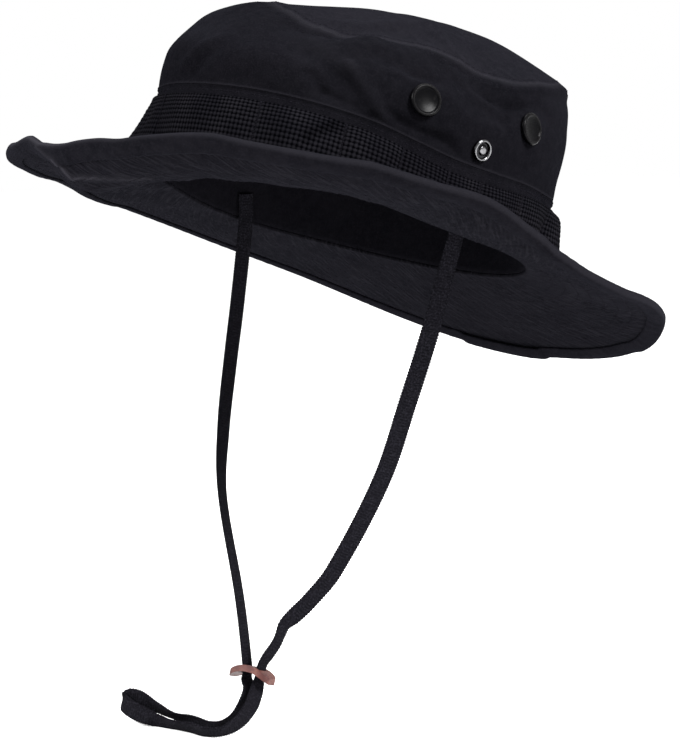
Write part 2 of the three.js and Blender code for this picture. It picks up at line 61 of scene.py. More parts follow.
# Driving sizes
TIPPED_BACK = 18.4
HEAD_OPENING = {"half_length": 104.5, "half_width": 87.5}
CLOTH = 2
SEAM_GAP = 0.3
SEWN_GAP = 0.08
BASE_FOOT = -0.3
SEAT_GAP = 0.4
WEBBING = {"thickness": 1.6, "bottom": 2.5, "top": 27.5}
BRIM = {"thickness": 1.6, "inset": 2, "drop": 1.1, "curl": 1.3, "ease": 0.05}
BINDING = {"cloth": 1, "clearance": 0.3, "seen": 7.8, "roll": 3.2, "stitched": 6.4, "sunk": 0.2}
# The cloth lies plain this far in from the rim, under the binding
BOUND = 9
# The tape's end lies over its start at the back: how high, and where it rises and falls again
LAP = {"height": 1.1, "rises": (185.4, 186.2), "falls": (203, 204.5)}
STRAP = {"width": 8.8, "thickness": 1.4, "pick": 1.5, "slant": 2.3, "hollow": 0.12}
SCALLOP = {"height": 0.4, "sunk": 0.25}
SLIDER = {"length": 22, "thickness": 3.2, "arch": 4, "edge": 0.4, "cuts": 31}
SLIDER_SLOT = {"length": 10.8, "width": 3.2, "apart": 8.2}
VENT = {"radius": 7.8}
SNAP = {"radius": 5.4}

# Each cloth laid flat: the cells of its mesh, and its length and height for the map of its weave
CLOTHS = {
    "panel": ((360, 50), (480, 80)),
    "wall": ((480, 72), (606, 68)),
    "base": ((360, 26), (604, 34)),
    "brim": ((840, 44), (900, 68)),
    "binding": ((800, 28), (1040, 24)),
}
# The webbing's map in the same way, and the share of its mesh that makes its outer face
WEBBING_MAP = (606, 28)
WEBBING_FACE = 0.9


def table(columns, *rows):
    """Rows of values, with a name for each column."""
    row_of = namedtuple("Row", columns)
    return [row_of(*row) for row in rows]


# The crown from the brim seam up to its peak: each section is an ellipse at a height
SECTIONS = table("name up set_back half_length half_width slouch sag",
    ("brim seam", 0, 0, 104.5, 87.5, 0, 0.4),
    ("webbing top", 28, 0.5, 105, 86.5, 0, 1),
    ("tuck seam", 32.8, 0.5, 104.8, 86, 0, 0.8),
    ("low wall", 54, 1.2, 106.5, 88.5, 0.2, 0.4),
    ("high wall", 72, 7.6, 101, 84, 0.55, 0.1),
    ("shoulder", 86, 13.5, 92.5, 78, 0.85, 0),
    ("top seam", 95, 19, 83, 71, 1, 0),
    ("top panel", 103, 19, 47, 40, 0.35, 0),
    ("peak", 106, 19, 0, 0, 0, 0),
)
TUCK_SEAM = 2
TOP_SEAM = 6
PEAK = 8

# The top seam's groove and the tuck seam's ridge, and how far their puckers run
GROOVE = {"depth": 0.3, "width": 1.5, "puckers": 6}
RIDGE = {"height": 0.5, "width": 0.8, "above": 0.4, "puckers": 5}
# The heights between which the wall's folds set in
WALL_FOLDS_START = (33, 39)
# How wide the cloth is paler along both seams, and how strongly on the ridge and on
# creases that stand out, partly wear and partly painted highlight; then how strongly on the brim's creases
PALE_WEAR_AND_HIGHLIGHT = {"groove": 1.4, "ridge": 0.8, "ridge_above": 0.6, "on_ridge": 0.7, "on_creases": 0.14}
PALE_WEAR_AND_HIGHLIGHT_BRIM = 1.3
# Where the binding is paler, partly wear and partly painted highlight: about its middle, and more strongly
# round an angle at the front
PALE_WEAR_AND_HIGHLIGHT_BINDING = {"share": 0.8, "width": 0.07, "front": 0.6, "angle": -14, "spread": 24}

# About how many millimetres of cloth one level of the sections takes, next to the seams
PER_LEVEL = {"panel": 27, "wall": 20, "base": 6}

# How far a seam sinks at each angle, counted from the front towards the wearer's left
SLOUCH = table("angle drop",
    (0, 11), (15, 17), (30, 21), (45, 18.5), (60, 17), (72, 17.5), (82, 20), (93, 18), (105, 14),
    (122, 6.5), (140, 1), (180, -1), (220, -2), (250, 2), (285, 7), (310, 6), (335, 7),
)
SEAT_LINE = table("angle drop",
    (0, 0), (35, -1), (60, 0.5), (74, 4), (86, 6), (100, 4.5), (120, 0.5), (145, -1.5), (180, -1.5),
    (215, -1.5), (240, 0.5), (260, 4.5), (280, 5), (300, 0.5), (325, -1),
)

# Folds and dents of the crown: a crease from one place to another, pushed in (or out, if negative)
FOLD = "from_angle from_up to_angle to_up width depth"
FOLDS = table(FOLD,
    (20, 92, 52, 50, 11, 3), (44, 90, 60, 66, 10, -2), (74, 88, 88, 64, 11, 3),
    (92, 82, 99, 66, 10, 4), (246, 86, 262, 52, 12, 3.5), (312, 86, 330, 58, 12, 2.5),
)
UNROLLED = 1.68

# Soft swellings and hollows that run on over the crown's seams
BULGES = table(FOLD,
    (-30, 74, -8, 86, 13, -2.6), (-28, 38, -24, 52, 8, -0.8), (136, 96, 148, 92, 8, 2.2),
    (138, 80, 146, 66, 10, 1.2), (134, 32, 156, 32, 10, -2.6),
)

# Finer creases of the crown's wall, in the same way, and those of its top panel from above
CREASES = table(FOLD,
    (24, 90, 34, 76, 9, -0.6), (35, 68, 53, 38, 9, 1.3), (29, 86, 50, 58, 4.2, -1.7),
    (49, 60, 63, 37, 4.2, -2.6), (41, 48, 46, 39, 3, 1.6), (46, 39, 55, 34, 3, 1.4),
    (54, 75, 71, 67, 6, 3.3), (57, 66, 66, 53, 5, 1.1), (73, 88, 91, 73, 4, -1.8),
    (81, 81, 101, 77, 5.5, 2.4), (100, 79, 114, 72, 6, 1.6), (64, 39, 87, 37, 3.5, 2),
    (70, 44, 84, 45, 3, -1), (8, 60, -5, 41, 3.5, -1), (11, 54, 2, 37, 3.5, 1),
    (150, 82, 163, 55, 9, 2), (192, 86, 203, 60, 9, 1.8), (225, 60, 240, 41, 6, 1.3),
    (280, 88, 292, 68, 8, 2),
)
PANEL_CREASES = table("from_x from_y to_x to_y width depth",
    (24, -52, 38, -30, 4, -1.3), (38, -30, 38, -4, 4, -1.1), (38, -4, 62, -6, 4.5, -1),
    (47, -30, 52, -14, 8, 1.8), (-8, -36, -8, -34, 20, 2.2), (22, 37, 22, 39, 22, -2.4),
    (-40, -20, -20, 30, 12, 1.4), (-10, 70, 18, 60, 9, 1),
)

# Creases of the webbing, pressed in towards the crown
BAND_CREASES = table(FOLD,
    (45, 13, 53, 25, 3.2, 2), (41, 8, 50, 26, 3, -0.9), (75, 8, 78, 27, 3, 1.2),
    (-20, 6, -16, 27, 3, 1),
)

# Rows of stitching on the brim: their distance in from its rim
BRIM_STITCH_ROWS = [15.5, 22.5, 29.5, 36.5, 43.5, 50.5, 57.5]
# The length of the rim, and of the line of stitches on the binding
RIM_LENGTH = 1040
BINDING_STITCH_LENGTH = 980
# A stitch, and the bar tacks' ladders of them
STITCH = {"length": 2.3, "pitch": 3.1, "thread": 0.42}
BAR_TACK = {"length": 24, "width": 1.5, "pitch": 0.62, "inset": 0.03, "lift": 0.05}
# Stitched lines of the crown: their height, or how far in from the top seam, and their length
CROWN_STITCHES = {"base": (30.2, 604), "wall": (92, 500), "panel": (3, 470)}
WEAVE = {"pitch": 2.15, "relief": 0.6}

# The brim at each angle: its slope where it leaves the crown, its slope at the rim and its width
BRIM_ROWS = table("angle start end width",
    (0, -56, 40, 64), (20, -51, 50, 65), (40, -34, 38, 66), (60, -18, 27, 67), (75, -10, 20, 68),
    (88, -12, 5, 68), (100, -11, 1, 69), (115, -13, -1, 69), (130, -13, 1, 70), (145, -12, -1, 72),
    (165, -15, -14, 74), (185, -17, -20, 75), (210, -17, -14, 74), (240, -10, -4, 72),
    (270, -7, 3, 71), (300, -13, 6, 70), (325, -29, 13, 67), (345, -45, 34, 64),
)

# How far the brim's rim rises or sinks from that plain form at each angle
RIM = table("angle rise",
    (3, 0.3), (8, 0.2), (13, -1.2), (17, -0.5), (21, 0.3), (26, 1.6), (31, 2.3), (37, 1), (46, 0),
    (52, 0), (57, 0.7), (63, -0.4), (69, -1), (74, 0.3), (80, 2.4), (84, 3.1), (89, 2.8), (92, 0.5),
    (96, -1.5), (100, -3), (105, -3), (110, -2.4), (115, -1.6), (120, -0.6), (130, -0.5), (140, -1.5),
    (146, -3.8), (152, -4.7), (157, -4.2), (161, -2.4), (167, -2), (175, -1.4), (183, -1.2),
    (190, -2.4), (205, -2.5), (215, -1.5), (240, 0), (278, 0), (283, -1.7), (288, -2), (292, -1),
    (298, -0.8), (305, -2.2), (312, -1.5), (320, -1), (332, 0), (338, -1.5), (345, 0), (349, -1.5),
    (354, -1.8), (359, -0.8),
)
# The sag of the cloth inside the rim, where the front of the brim rolls up over it
SAG = table("angle rise",
    (0, -6), (8, -3), (18, 0), (100, 0), (200, 0), (300, 0), (330, 0.5), (342, 0), (351, -7),
    (357, -7.5),
)

# Creases of the brim, from an angle and distance in from the rim to another, pushed down
BRIM_CREASES = table(FOLD,
    (-9.4, 0, -5.2, 5, 1.7, 0.7), (-5.2, 5, -3, 14.7, 1.7, 0.9), (-3, 14.7, 4, 18, 1.7, 0.9),
    (4, 18, 15, 26, 1.7, 0.8), (-1, 19, 8, 25, 1.6, -1), (-9, 10, -7, 18, 3, -1.2),
)

# Ripples of the cloth: a seed, their height, how many go round the hat and how many across
RIPPLES = {
    "top seam": (3, 0.15, (60, 120), (0, 0.6)),
    "tuck seam": (4, 0.14, (50, 110), (0, 0.6)),
    "wall": (5, 0.35, (5, 26), (0.2, 1.6)),
    "panel": (7, 0.5, (2, 9), (0.2, 1.2)),
    "webbing": (9, 0.35, (12, 40), (0.1, 0.6)),
    "brim patches": (21, 0.4, (4, 14), (0.2, 1)),
    "brim puckers": (22, 0.2, (150, 240), (0.5, 3.5)),
    "brim waves": (23, 0.5, (9, 34), (0.1, 0.9)),
    "binding": (24, 0.13, (110, 200), (0, 1)),
}
# How many waves make a ripple, and the height of crown that their number across is for
RIPPLE_TERMS = 16
RIPPLE_SPAN = 60

# Bar tacks hold the webbing down, and between two of them its loop stands proud of the crown:
# in its middle, or at its foot where it is flared, the more sharply the greater the flare
LOOPS = table("start end proud flare",
    (-45, -9, 8, 1.8), (-9, 30, 1.5, 0), (30, 54, 4, 0), (54, 70, 3, 0), (70, 84, 2, 0),
    (84, 95, 1.5, 0), (95, 113, 2.5, 0), (113, 132, 2, 0), (132, 160, 12, 0.5), (160, 182, 3, 0),
    (182, 208, 3, 0), (208, 234, 2.5, 0), (234, 258, 2, 0), (258, 282, 3, 0), (282, 315, 2, 0),
)

Place = namedtuple("Place", "angle up")
VENTS = {"front": Place(72, 53.5), "back": Place(107, 61)}
CROWN_SNAP = Place(92.5, 42.5)
BRIM_SNAP = {"angle": 97, "along": 0.77}
SMOOTH = {"inside": 9, "outside": 20}

# The strap's route. `turn` and `rise` point along the tape's width: a compass turn from +X
# towards +Y, and its rise above level.
STRAP_ROUTE = table("x y z turn rise",
    (83.7, 5.5, 8, 90, 0), (83.3, 5.3, -4, 89, 0), (81.3, 2.2, -18.5, 76, 0),
    (74.7, -3.1, -50.4, 60, 0), (64, -7.5, -84, 54, 0), (48.2, -11, -123.5, 54, 0),
    (24, -21.3, -170.2, 62, -6), (15.8, -29.9, -184.9, 74, -30), (12, -36, -191.8, 79, -38),
    (9.6, -40, -196.1, 103, -30), (8.7, -42, -201.2, 108, -12), (7.2, -43.7, -205.9, 107, -15),
    (5.4, -46.9, -211.2, 106, -18), (2.9, -48.7, -216.5, 111, -8), (3, -50.4, -223.2, 110, 3),
    (5.8, -54.4, -228.3, 107, -6), (10.8, -61.6, -233.4, 105, -24), (14.7, -71, -238.1, 112, -38),
    (14.9, -81.1, -241.2, 134, -43), (8.9, -86.7, -241.8, 146, -42), (-1.9, -87.9, -242, 150, -39),
    (-13.3, -90.5, -242, 153, -36), (-22.8, -92.7, -241.5, 164, -54),
    (-27.2, -97.9, -238.9, 193, -68), (-36.4, -99.3, -237, 216, -74),
    (-44.2, -97.9, -235.1, 222, -74), (-43, -94.8, -233.4, 196, -61),
    (-34.1, -93.2, -233.7, 192, -39), (-25.3, -90.4, -236, 171, -26),
    (-17.6, -87.5, -238.6, 158, -28), (-13.9, -83.1, -240.5, 155, -41),
    (-8.1, -79.5, -241.7, 148, -52), (-3.6, -75, -242.5, 130, -33), (-0.8, -70, -242.2, 122, -25),
    (2.2, -65.5, -239.4, 118, -25), (2.4, -60, -233.8, 111, -19), (0, -54.8, -227.8, 110, -9),
    (-3.7, -52.9, -222.6, 113, 5), (-4.3, -52.2, -216.8, 115, 6), (-13.8, -50, -184.2, 118, 5),
    (-36, -44.2, -135.7, 119, 0), (-53, -31, -106, 106, 0), (-68, -16, -76, 98, 0),
    (-78, -4, -46, 92, 0), (-83.3, 5.3, -4, 89, 0), (-83.7, 5.5, 8, 90, 0),
)
SLIDER_OUTLINE = [(0, 14.4), (6.2, 13.8), (9, 11.8), (10.4, 9), (11, 6)]
SLIDER_PLACE = {"x": -0.7, "y": -51.2, "z": -219.6, "turn": 25, "dip": 6, "lean_back": 15}

# The photograph's view
AZIMUTH = 52
ELEVATION = 6
DISTANCE = 1.3
LENS = 129.13
AIM = {"right": 0.00122, "up": -0.07585}


def smooth(at, value, place, steepest=None):
    """A smooth line through a table's rows: at each row it runs as the line through its neighbours
    does, or no steeper than so many times the step to the next row."""
    here = np.clip(np.searchsorted(at, place, side="right") - 1, 1, len(at) - 3)
    a, b, c, d = (at[here + step] for step in (-1, 0, 1, 2))
    from_a, from_b, from_c, from_d = (value[here + step] for step in (-1, 0, 1, 2))
    part = (place - b) / (c - b)
    rise = (from_c - from_a) / (c - a) * (c - b)
    fall = (from_d - from_b) / (d - b) * (c - b)
    if steepest is not None:
        most = steepest * np.abs(from_c - from_b)
        rise, fall = np.clip(rise, -most, most), np.clip(fall, -most, most)
    return (from_b * (2 * part**3 - 3 * part**2 + 1) + rise * (part**3 - 2 * part**2 + part)
            + from_c * (3 * part**2 - 2 * part**3) + fall * (part**3 - part**2))


def around(rows, column, angle):
    """One column of a table that runs all the way round, at any angles."""
    at = np.array([row.angle for row in rows], float)
    value = np.array([getattr(row, column) for row in rows], float)
    at = np.concatenate([at[-2:] - 360, at, at[:3] + 360])
    value = np.concatenate([value[-2:], value, value[:3]])
    return smooth(at, value, np.mod(angle, 360))


def section(column, level):
    """One column of the crown's sections, at levels between them."""
    value = [getattr(row, column) for row in SECTIONS]
    before = 2 * value[0] - value[1]
    # the crown is level at its peak
    after = value[-2] if column in ("up", "slouch") else 2 * value[-1] - value[-2]
    at = np.arange(-1, len(value) + 1, dtype=float)
    # heights rise evenly in the low strip under the tuck seam too
    steepest = np.where(np.asarray(level) < TUCK_SEAM, 1.5, 2.2) if column == "up" else None
    return smooth(at, np.array([before, *value, after], float), level, steepest)


def ease(value, low, high):
    """0 below low, 1 above high and a smooth step between them."""
    part = np.clip((value - low) / (high - low), 0, 1)
    return part * part * (3 - 2 * part)


def hill(off, width):
    """1 in the middle, falling off smoothly on both sides."""
    return np.exp(-((off / width) ** 2))


def unit(vectors):
    return vectors / np.maximum(np.linalg.norm(vectors, axis=-1, keepdims=True), 1e-9)


def level_at(up):
    """The level at which the crown's sections stand at a height, below the top seam."""
    above = next(index for index, row in enumerate(SECTIONS) if row.up > up)
    low, high = SECTIONS[above - 1], SECTIONS[above]
    return above - 1 + (up - low.up) / (high.up - low.up)


def crown_form(angle, level):
    """The crown's outer face, before its folds."""
    turn = np.radians(angle)
    drop = section("slouch", level) * around(SLOUCH, "drop", angle)
    sag = section("sag", level) * around(SEAT_LINE, "drop", angle)
    return np.stack([
        section("half_width", level) * np.sin(turn),
        section("set_back", level) - section("half_length", level) * np.cos(turn),
        section("up", level) - drop - sag,
    ], axis=-1)


def crown_normal(angle, level):
    step = 0.02
    level = np.minimum(level, PEAK - step)
    along = crown_form(angle + 1, level) - crown_form(angle - 1, level)
    upward = crown_form(angle, level + step) - crown_form(angle, np.maximum(level - step, 0))
    return unit(np.cross(along, upward))


def turn_between(start, end):
    """The shorter turn from one angle to another."""
    return np.mod(end - start + 540, 360) - 180


def fold_depth(fold, angle, up):
    """How far a fold presses in at a place on the unrolled wall: deepest along its line."""
    run = np.array([turn_between(fold.from_angle, fold.to_angle) * UNROLLED, fold.to_up - fold.from_up])
    place = np.stack([turn_between(fold.from_angle, angle) * UNROLLED, up - fold.from_up], axis=-1)
    part = np.clip(place @ run / (run @ run), 0, 1)
    off = np.linalg.norm(place - part[..., None] * run, axis=-1)
    return fold.depth * hill(off, fold.width)


def clear_of_hardware(angle, up):
    """0 under the vents and studs, which hold the cloth flat, and 1 well away from them."""
    clear = np.ones_like(angle)
    for held in [*VENTS.values(), CROWN_SNAP]:
        across = np.minimum(np.abs(turn_between(held.angle, angle)),
                            np.abs(turn_between(360 - held.angle, angle))) * UNROLLED
        clear = np.minimum(clear, ease(np.hypot(across, up - held.up), SMOOTH["inside"], SMOOTH["outside"]))
    return clear


def crown_point(angle, level, outwards=0):
    """A point on the crown, `outwards` from its outer face along the face's normal."""
    angle, level = np.broadcast_arrays(np.asarray(angle, float), np.asarray(level, float))
    up = section("up", level)
    seams = ease(level, TUCK_SEAM, TUCK_SEAM + 0.6) * (1 - ease(level, TOP_SEAM - 0.4, TOP_SEAM))
    pressed = sum(fold_depth(fold, angle, up) for fold in FOLDS) * seams * clear_of_hardware(angle, up)
    off_peak = 1 - ease(level, TOP_SEAM + 0.3, PEAK - 0.4)
    pressed = pressed + sum(fold_depth(bulge, angle, up) for bulge in BULGES) * off_peak
    lift = np.asarray(outwards - pressed)[..., None]
    return crown_form(angle, level) + crown_normal(angle, level) * lift


def crease_depth(angle, in_from_rim):
    """How far the creases press the brim down: the deepest of those at a place."""
    depths = [fold_depth(crease, angle, in_from_rim) for crease in BRIM_CREASES]
    return np.maximum.reduce(depths) + np.minimum.reduce(depths)


def brim_point(angle, along, over=0, beyond=0):
    """The brim's middle layer at a share `along` of its width, `over` above it square to the cloth."""
    angle, along = np.broadcast_arrays(np.asarray(angle, float), np.asarray(along, float))
    start = np.radians(around(BRIM_ROWS, "start", angle))
    end = np.radians(around(BRIM_ROWS, "end", angle))
    width = around(BRIM_ROWS, "width", angle)

    def slope_at(share):
        return start * np.minimum(1, share / BRIM["ease"]) + (end - start) * share ** BRIM["curl"]

    steps = 40
    out = np.full(angle.shape, -float(BRIM["inset"]))
    up = np.full(angle.shape, -float(BRIM["drop"]))
    for step in range(steps):
        slope = slope_at((step + 0.5) / steps * along)
        out = out + np.cos(slope) * width * along / steps
        up = up + np.sin(slope) * width * along / steps
    slope = slope_at(along)
    over = over + around(SAG, "rise", angle) * ease(along, 0.2, 0.6) * (1 - ease(along, 0.65, 1))
    over = over - crease_depth(angle, (1 - along) * width)
    out = out + np.cos(slope) * beyond - np.sin(slope) * over
    up = up + np.sin(slope) * beyond + np.cos(slope) * over
    turn = np.radians(angle)
    half_length, half_width = HEAD_OPENING["half_length"], HEAD_OPENING["half_width"]
    flat = np.zeros_like(turn)
    outward = unit(np.stack([half_length * np.sin(turn), -half_width * np.cos(turn), flat], axis=-1))
    up = up - SECTIONS[0].sag * around(SEAT_LINE, "drop", angle) + around(RIM, "rise", angle) * along**2
    seam = np.stack([half_width * np.sin(turn), -half_length * np.cos(turn), up], axis=-1)
    return seam + outward * out[..., None]


def crinkle(name, angle, along):
    """Seeded ripples of about their height up and down, round the hat and along its cloth."""
    seed, height, turns, waves = RIPPLES[name]
    pick = np.random.default_rng(seed)
    total = np.zeros(np.broadcast(angle, along).shape)
    for _ in range(RIPPLE_TERMS):
        round_the_hat = pick.integers(*turns)
        across = pick.uniform(*waves) * pick.choice([-1, 1])
        start = pick.uniform(0, math.tau)
        total += np.sin(np.radians(angle) * round_the_hat + math.tau * across * along + start)
    return height * (total / math.sqrt(RIPPLE_TERMS))


def in_metres(points):
    return np.asarray(points, float) * MM


def tipped(points):
    """Points of the level hat, tipped back with it and turned to metres."""
    turn = np.array(Matrix.Rotation(math.radians(-TIPPED_BACK), 3, "X"))
    return in_metres(points) @ turn.T


def deselect():
    if bpy.context.object and bpy.context.object.mode != "OBJECT":
        bpy.ops.object.mode_set(mode="OBJECT")
    bpy.ops.object.select_all(action="DESELECT")


def only(piece):
    deselect()
    piece.select_set(True)
    bpy.context.view_layer.objects.active = piece


def edit(*steps):
    """Edit-mode steps on the active piece, each with everything selected."""
    bpy.ops.object.mode_set(mode="EDIT")
    for step, settings in steps:
        bpy.ops.mesh.select_all(action="SELECT")
        step(**settings)
    bpy.ops.object.mode_set(mode="OBJECT")


def named(name):
    piece = bpy.context.object
    piece.name = name
    piece.data.name = name
    return piece


def corners(piece):
    points = np.empty(len(piece.data.vertices) * 3)
    piece.data.vertices.foreach_get("co", points)
    return points.reshape(-1, 3)


def move_corners(piece, points):
    piece.data.vertices.foreach_set("co", np.ascontiguousarray(points, dtype=np.float32).ravel())
    piece.data.update()


def stretch_uv(piece, across, along):
    """Lays the piece's map out in millimetres of cloth, divided by 100."""
    layer = piece.data.uv_layers.active.data
    flat = np.empty(len(layer) * 2)
    layer.foreach_get("uv", flat)
    layer.foreach_set("uv", (flat.reshape(-1, 2) * [across / 100, along / 100]).ravel())


def keep(piece, name, values):
    """Keeps a value on each of the piece's corners, for its finish."""
    layer = piece.data.attributes.new(name, "FLOAT", "POINT")
    layer.data.foreach_set("value", np.ascontiguousarray(values, dtype=np.float32))


def woven(name, cells, size, shape, **kept):
    """A piece of cloth: a grid whose corners go where shape(across, along) says, both 0 to 1,
    sewn up where its edges meet. What else is told of those places is kept on it by name."""
    deselect()
    bpy.ops.mesh.primitive_grid_add(x_subdivisions=cells[0], y_subdivisions=cells[1], size=1)
    piece = named(name)
    flat = corners(piece) + 0.5
    move_corners(piece, shape(flat[:, 0], flat[:, 1]))
    for told, values in kept.items():
        keep(piece, told, values(flat[:, 0], flat[:, 1]))
    stretch_uv(piece, *size)
    edit((bpy.ops.mesh.remove_doubles, {"threshold": SEWN_UP}))
    bpy.ops.object.shade_smooth()
    return piece


def add_wall(piece, thickness, offset=-1):
    """Gives cloth its thickness: inwards from its face, or about it where offset is 0."""
    only(piece)
    wall = piece.modifiers.new("wall", "SOLIDIFY")
    wall.thickness = thickness * MM
    wall.offset = offset
    bpy.ops.object.modifier_apply(modifier=wall.name)
    return piece


def dress(piece, finish, slot, *nodes):
    """The piece gets its finish, rides with the hat and stands for its CAD nodes."""
    piece.data.materials.clear()
    piece.data.materials.append(finish)
    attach(piece, "root")
    if nodes:
        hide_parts(*nodes)
    return piece


def camera():
    azimuth, elevation = math.radians(AZIMUTH), math.radians(ELEVATION)
    back = Vector((math.sin(azimuth) * math.cos(elevation), -math.cos(azimuth) * math.cos(elevation),
                   math.sin(elevation)))
    right = Vector((math.cos(azimuth), math.sin(azimuth), 0))
    target = right * AIM["right"] + back.cross(right) * AIM["up"]
    view = bpy.data.objects.new("camera", bpy.data.cameras.new("camera"))
    view.data.lens = LENS
    view.data.clip_end = 20
    view.location = target + back * DISTANCE
    view.rotation_euler = back.to_track_quat("Z", "Y").to_euler()
    bpy.context.collection.objects.link(view)
    bpy.context.scene.camera = view


def strap_line(share):
    """The strap's middle line at shares of its length, with the line of its width and of its face."""
    points = np.array([stop[:3] for stop in STRAP_ROUTE], float)
    turn, rise = (np.radians([stop[index] for stop in STRAP_ROUTE]) for index in (3, 4))
    sides = np.stack([np.cos(rise) * np.cos(turn), np.cos(rise) * np.sin(turn), np.sin(rise)], axis=-1)
    at = np.concatenate([[0], np.cumsum(np.linalg.norm(np.diff(points, axis=0), axis=1))])
    ends = [2 * at[0] - at[1], 2 * at[-1] - at[-2]]
    at = np.array([ends[0], *at, ends[1]])

    def line(rows, place):
        grown = np.array([2 * rows[0] - rows[1], *rows, 2 * rows[-1] - rows[-2]])
        return np.stack([smooth(at, grown[:, column], place) for column in range(3)], axis=-1)

    fine = np.linspace(at[1], at[-2], 4001)
    run = line(points, fine)
    length = np.concatenate([[0], np.cumsum(np.linalg.norm(np.diff(run, axis=0), axis=1))])
    place = np.interp(share, length / length[-1], fine)
    before, after = np.maximum(place - 0.3, at[1]), np.minimum(place + 0.3, at[-2])
    ahead = unit(line(points, after) - line(points, before))
    side = line(sides, place)
    side = unit(side - ahead * np.sum(side * ahead, axis=-1, keepdims=True))
    return line(points, place), side, np.cross(ahead, side), length[-1]


def chin_strap(finish):
    """A flat woven tape, its edges scalloped where each pick of the weft turns round."""
    half, thick = STRAP["width"] / 2, STRAP["thickness"] / 2
    length = strap_line(np.array([0, 1]))[3]
    picks = round(length / STRAP["pick"])

    def reach(across):
        """The place across the tape, -1 to 1, of a section with rounded edges."""
        turn = math.tau * across
        return np.sign(np.cos(turn)) * np.abs(np.cos(turn)) ** 0.55

    def slant(across, along):
        height = 0.5 + 0.5 * np.cos(math.tau * (along * picks + np.abs(reach(across)) * STRAP["slant"]))
        return height * (1 - 0.7 * np.abs(reach(across)) ** 6)

    def shape(across, along):
        middle, side, face, _ = strap_line(along)
        turn = math.tau * across
        scallop = SCALLOP["height"] * np.abs(np.cos(np.pi * along * picks)) ** 0.7 - SCALLOP["sunk"]
        wide = reach(across) * (half + scallop)
        deep = thick - STRAP["hollow"] * (1 - slant(across, along))
        deep = deep * np.sign(np.sin(turn)) * np.abs(np.sin(turn)) ** 0.6
        return in_metres(middle + side * wide[:, None] + face * deep[:, None])

    strap = woven("chin_strap_tape", (24, 4 * picks), (2 * STRAP["width"], length), shape, thread=slant)
    edit((bpy.ops.mesh.fill_holes, {"sides": 0}),
         (bpy.ops.mesh.normals_make_consistent, {"inside": False}))
    dress(strap, finish, "webbing", "chin_strap")
    return strap, length


def wall_folds(angle, level):
    """The crown wall's creases and soft unevenness, over its main folds."""
    up = section("up", level)
    creases = sum(fold_depth(crease, angle, up) for crease in CREASES)
    soft = crinkle("wall", angle, up / RIPPLE_SPAN)
    return (soft - creases) * np.minimum(clear_of_hardware(angle, up), ease(up, *WALL_FOLDS_START))


def top_seam(angle, off):
    """The top seam's shallow groove and puckers, at a distance off it on either side."""
    puckers = crinkle("top seam", angle, off / RIPPLE_SPAN) * np.exp(-np.abs(off) / GROOVE["puckers"])
    return puckers - GROOVE["depth"] * hill(off, GROOVE["width"])


def tuck_seam(angle, up):
    """The fine ridge where the wall's foot is turned under, and the puckers along it."""
    off = up - SECTIONS[TUCK_SEAM].up
    puckers = crinkle("tuck seam", angle, up / RIPPLE_SPAN) * np.exp(-np.abs(off) / RIDGE["puckers"])
    return puckers + RIDGE["height"] * hill(off - RIDGE["above"], RIDGE["width"])


def panel_outwards(angle, level):
    """The top panel's fine shape: creases, seen from above, and an edge that follows the wall's."""
    place = crown_form(angle, level)[..., :2]
    pressed = np.zeros(place.shape[:-1])
    for crease in PANEL_CREASES:
        begin = np.array([crease.from_x, crease.from_y])
        run = np.array([crease.to_x, crease.to_y]) - begin
        part = np.clip((place - begin) @ run / (run @ run), 0, 1)
        off = np.linalg.norm(place - begin - part[..., None] * run, axis=-1)
        pressed = pressed + crease.depth * hill(off, crease.width)
    off = (level - TOP_SEAM) * PER_LEVEL["panel"]
    soft = crinkle("panel", angle, off / RIPPLE_SPAN)
    soft = soft * ease(off, 0, 12) * (1 - ease(level, 7.2, 8))
    edge = wall_folds(angle, np.full_like(level, TOP_SEAM)) * (1 - ease(off, 0, 10))
    return (soft - pressed) * ease(off, 0, 9) + edge + top_seam(angle, off)


def crown_cloth(name, node, finish, flat, level_of, outwards, **kept):
    """One cloth of the crown: level_of(along) says where the rows of its mesh lie, and outwards
    its fine shape at an angle and level."""

    def shape(across, along):
        angle, level = 360 * across, level_of(along)
        return tipped(crown_point(angle, level, outwards(angle, level)))

    cloth = woven(name, *flat, shape, **kept)
    add_wall(cloth, CLOTH)
    return dress(cloth, finish, "cloth", node)


def crown_top(finish):
    start = TOP_SEAM + SEWN_GAP / PER_LEVEL["panel"]

    def level_of(along):
        return start + (PEAK - start) * along

    # paler along the top seam: partly wear, partly painted highlight
    def rubbed(across, along):
        return hill(along * (PEAK - start) * PER_LEVEL["panel"], PALE_WEAR_AND_HIGHLIGHT["groove"])

    return crown_cloth("crown_top_panel", "crown_top", finish, CLOTHS["panel"], level_of,
                       panel_outwards, rubbed=rubbed)


def wall_outwards(angle, level):
    """The crown wall's face over its plain form."""
    up = section("up", level)
    return top_seam(angle, SECTIONS[TOP_SEAM].up - up) + tuck_seam(angle, up) + wall_folds(angle, level)


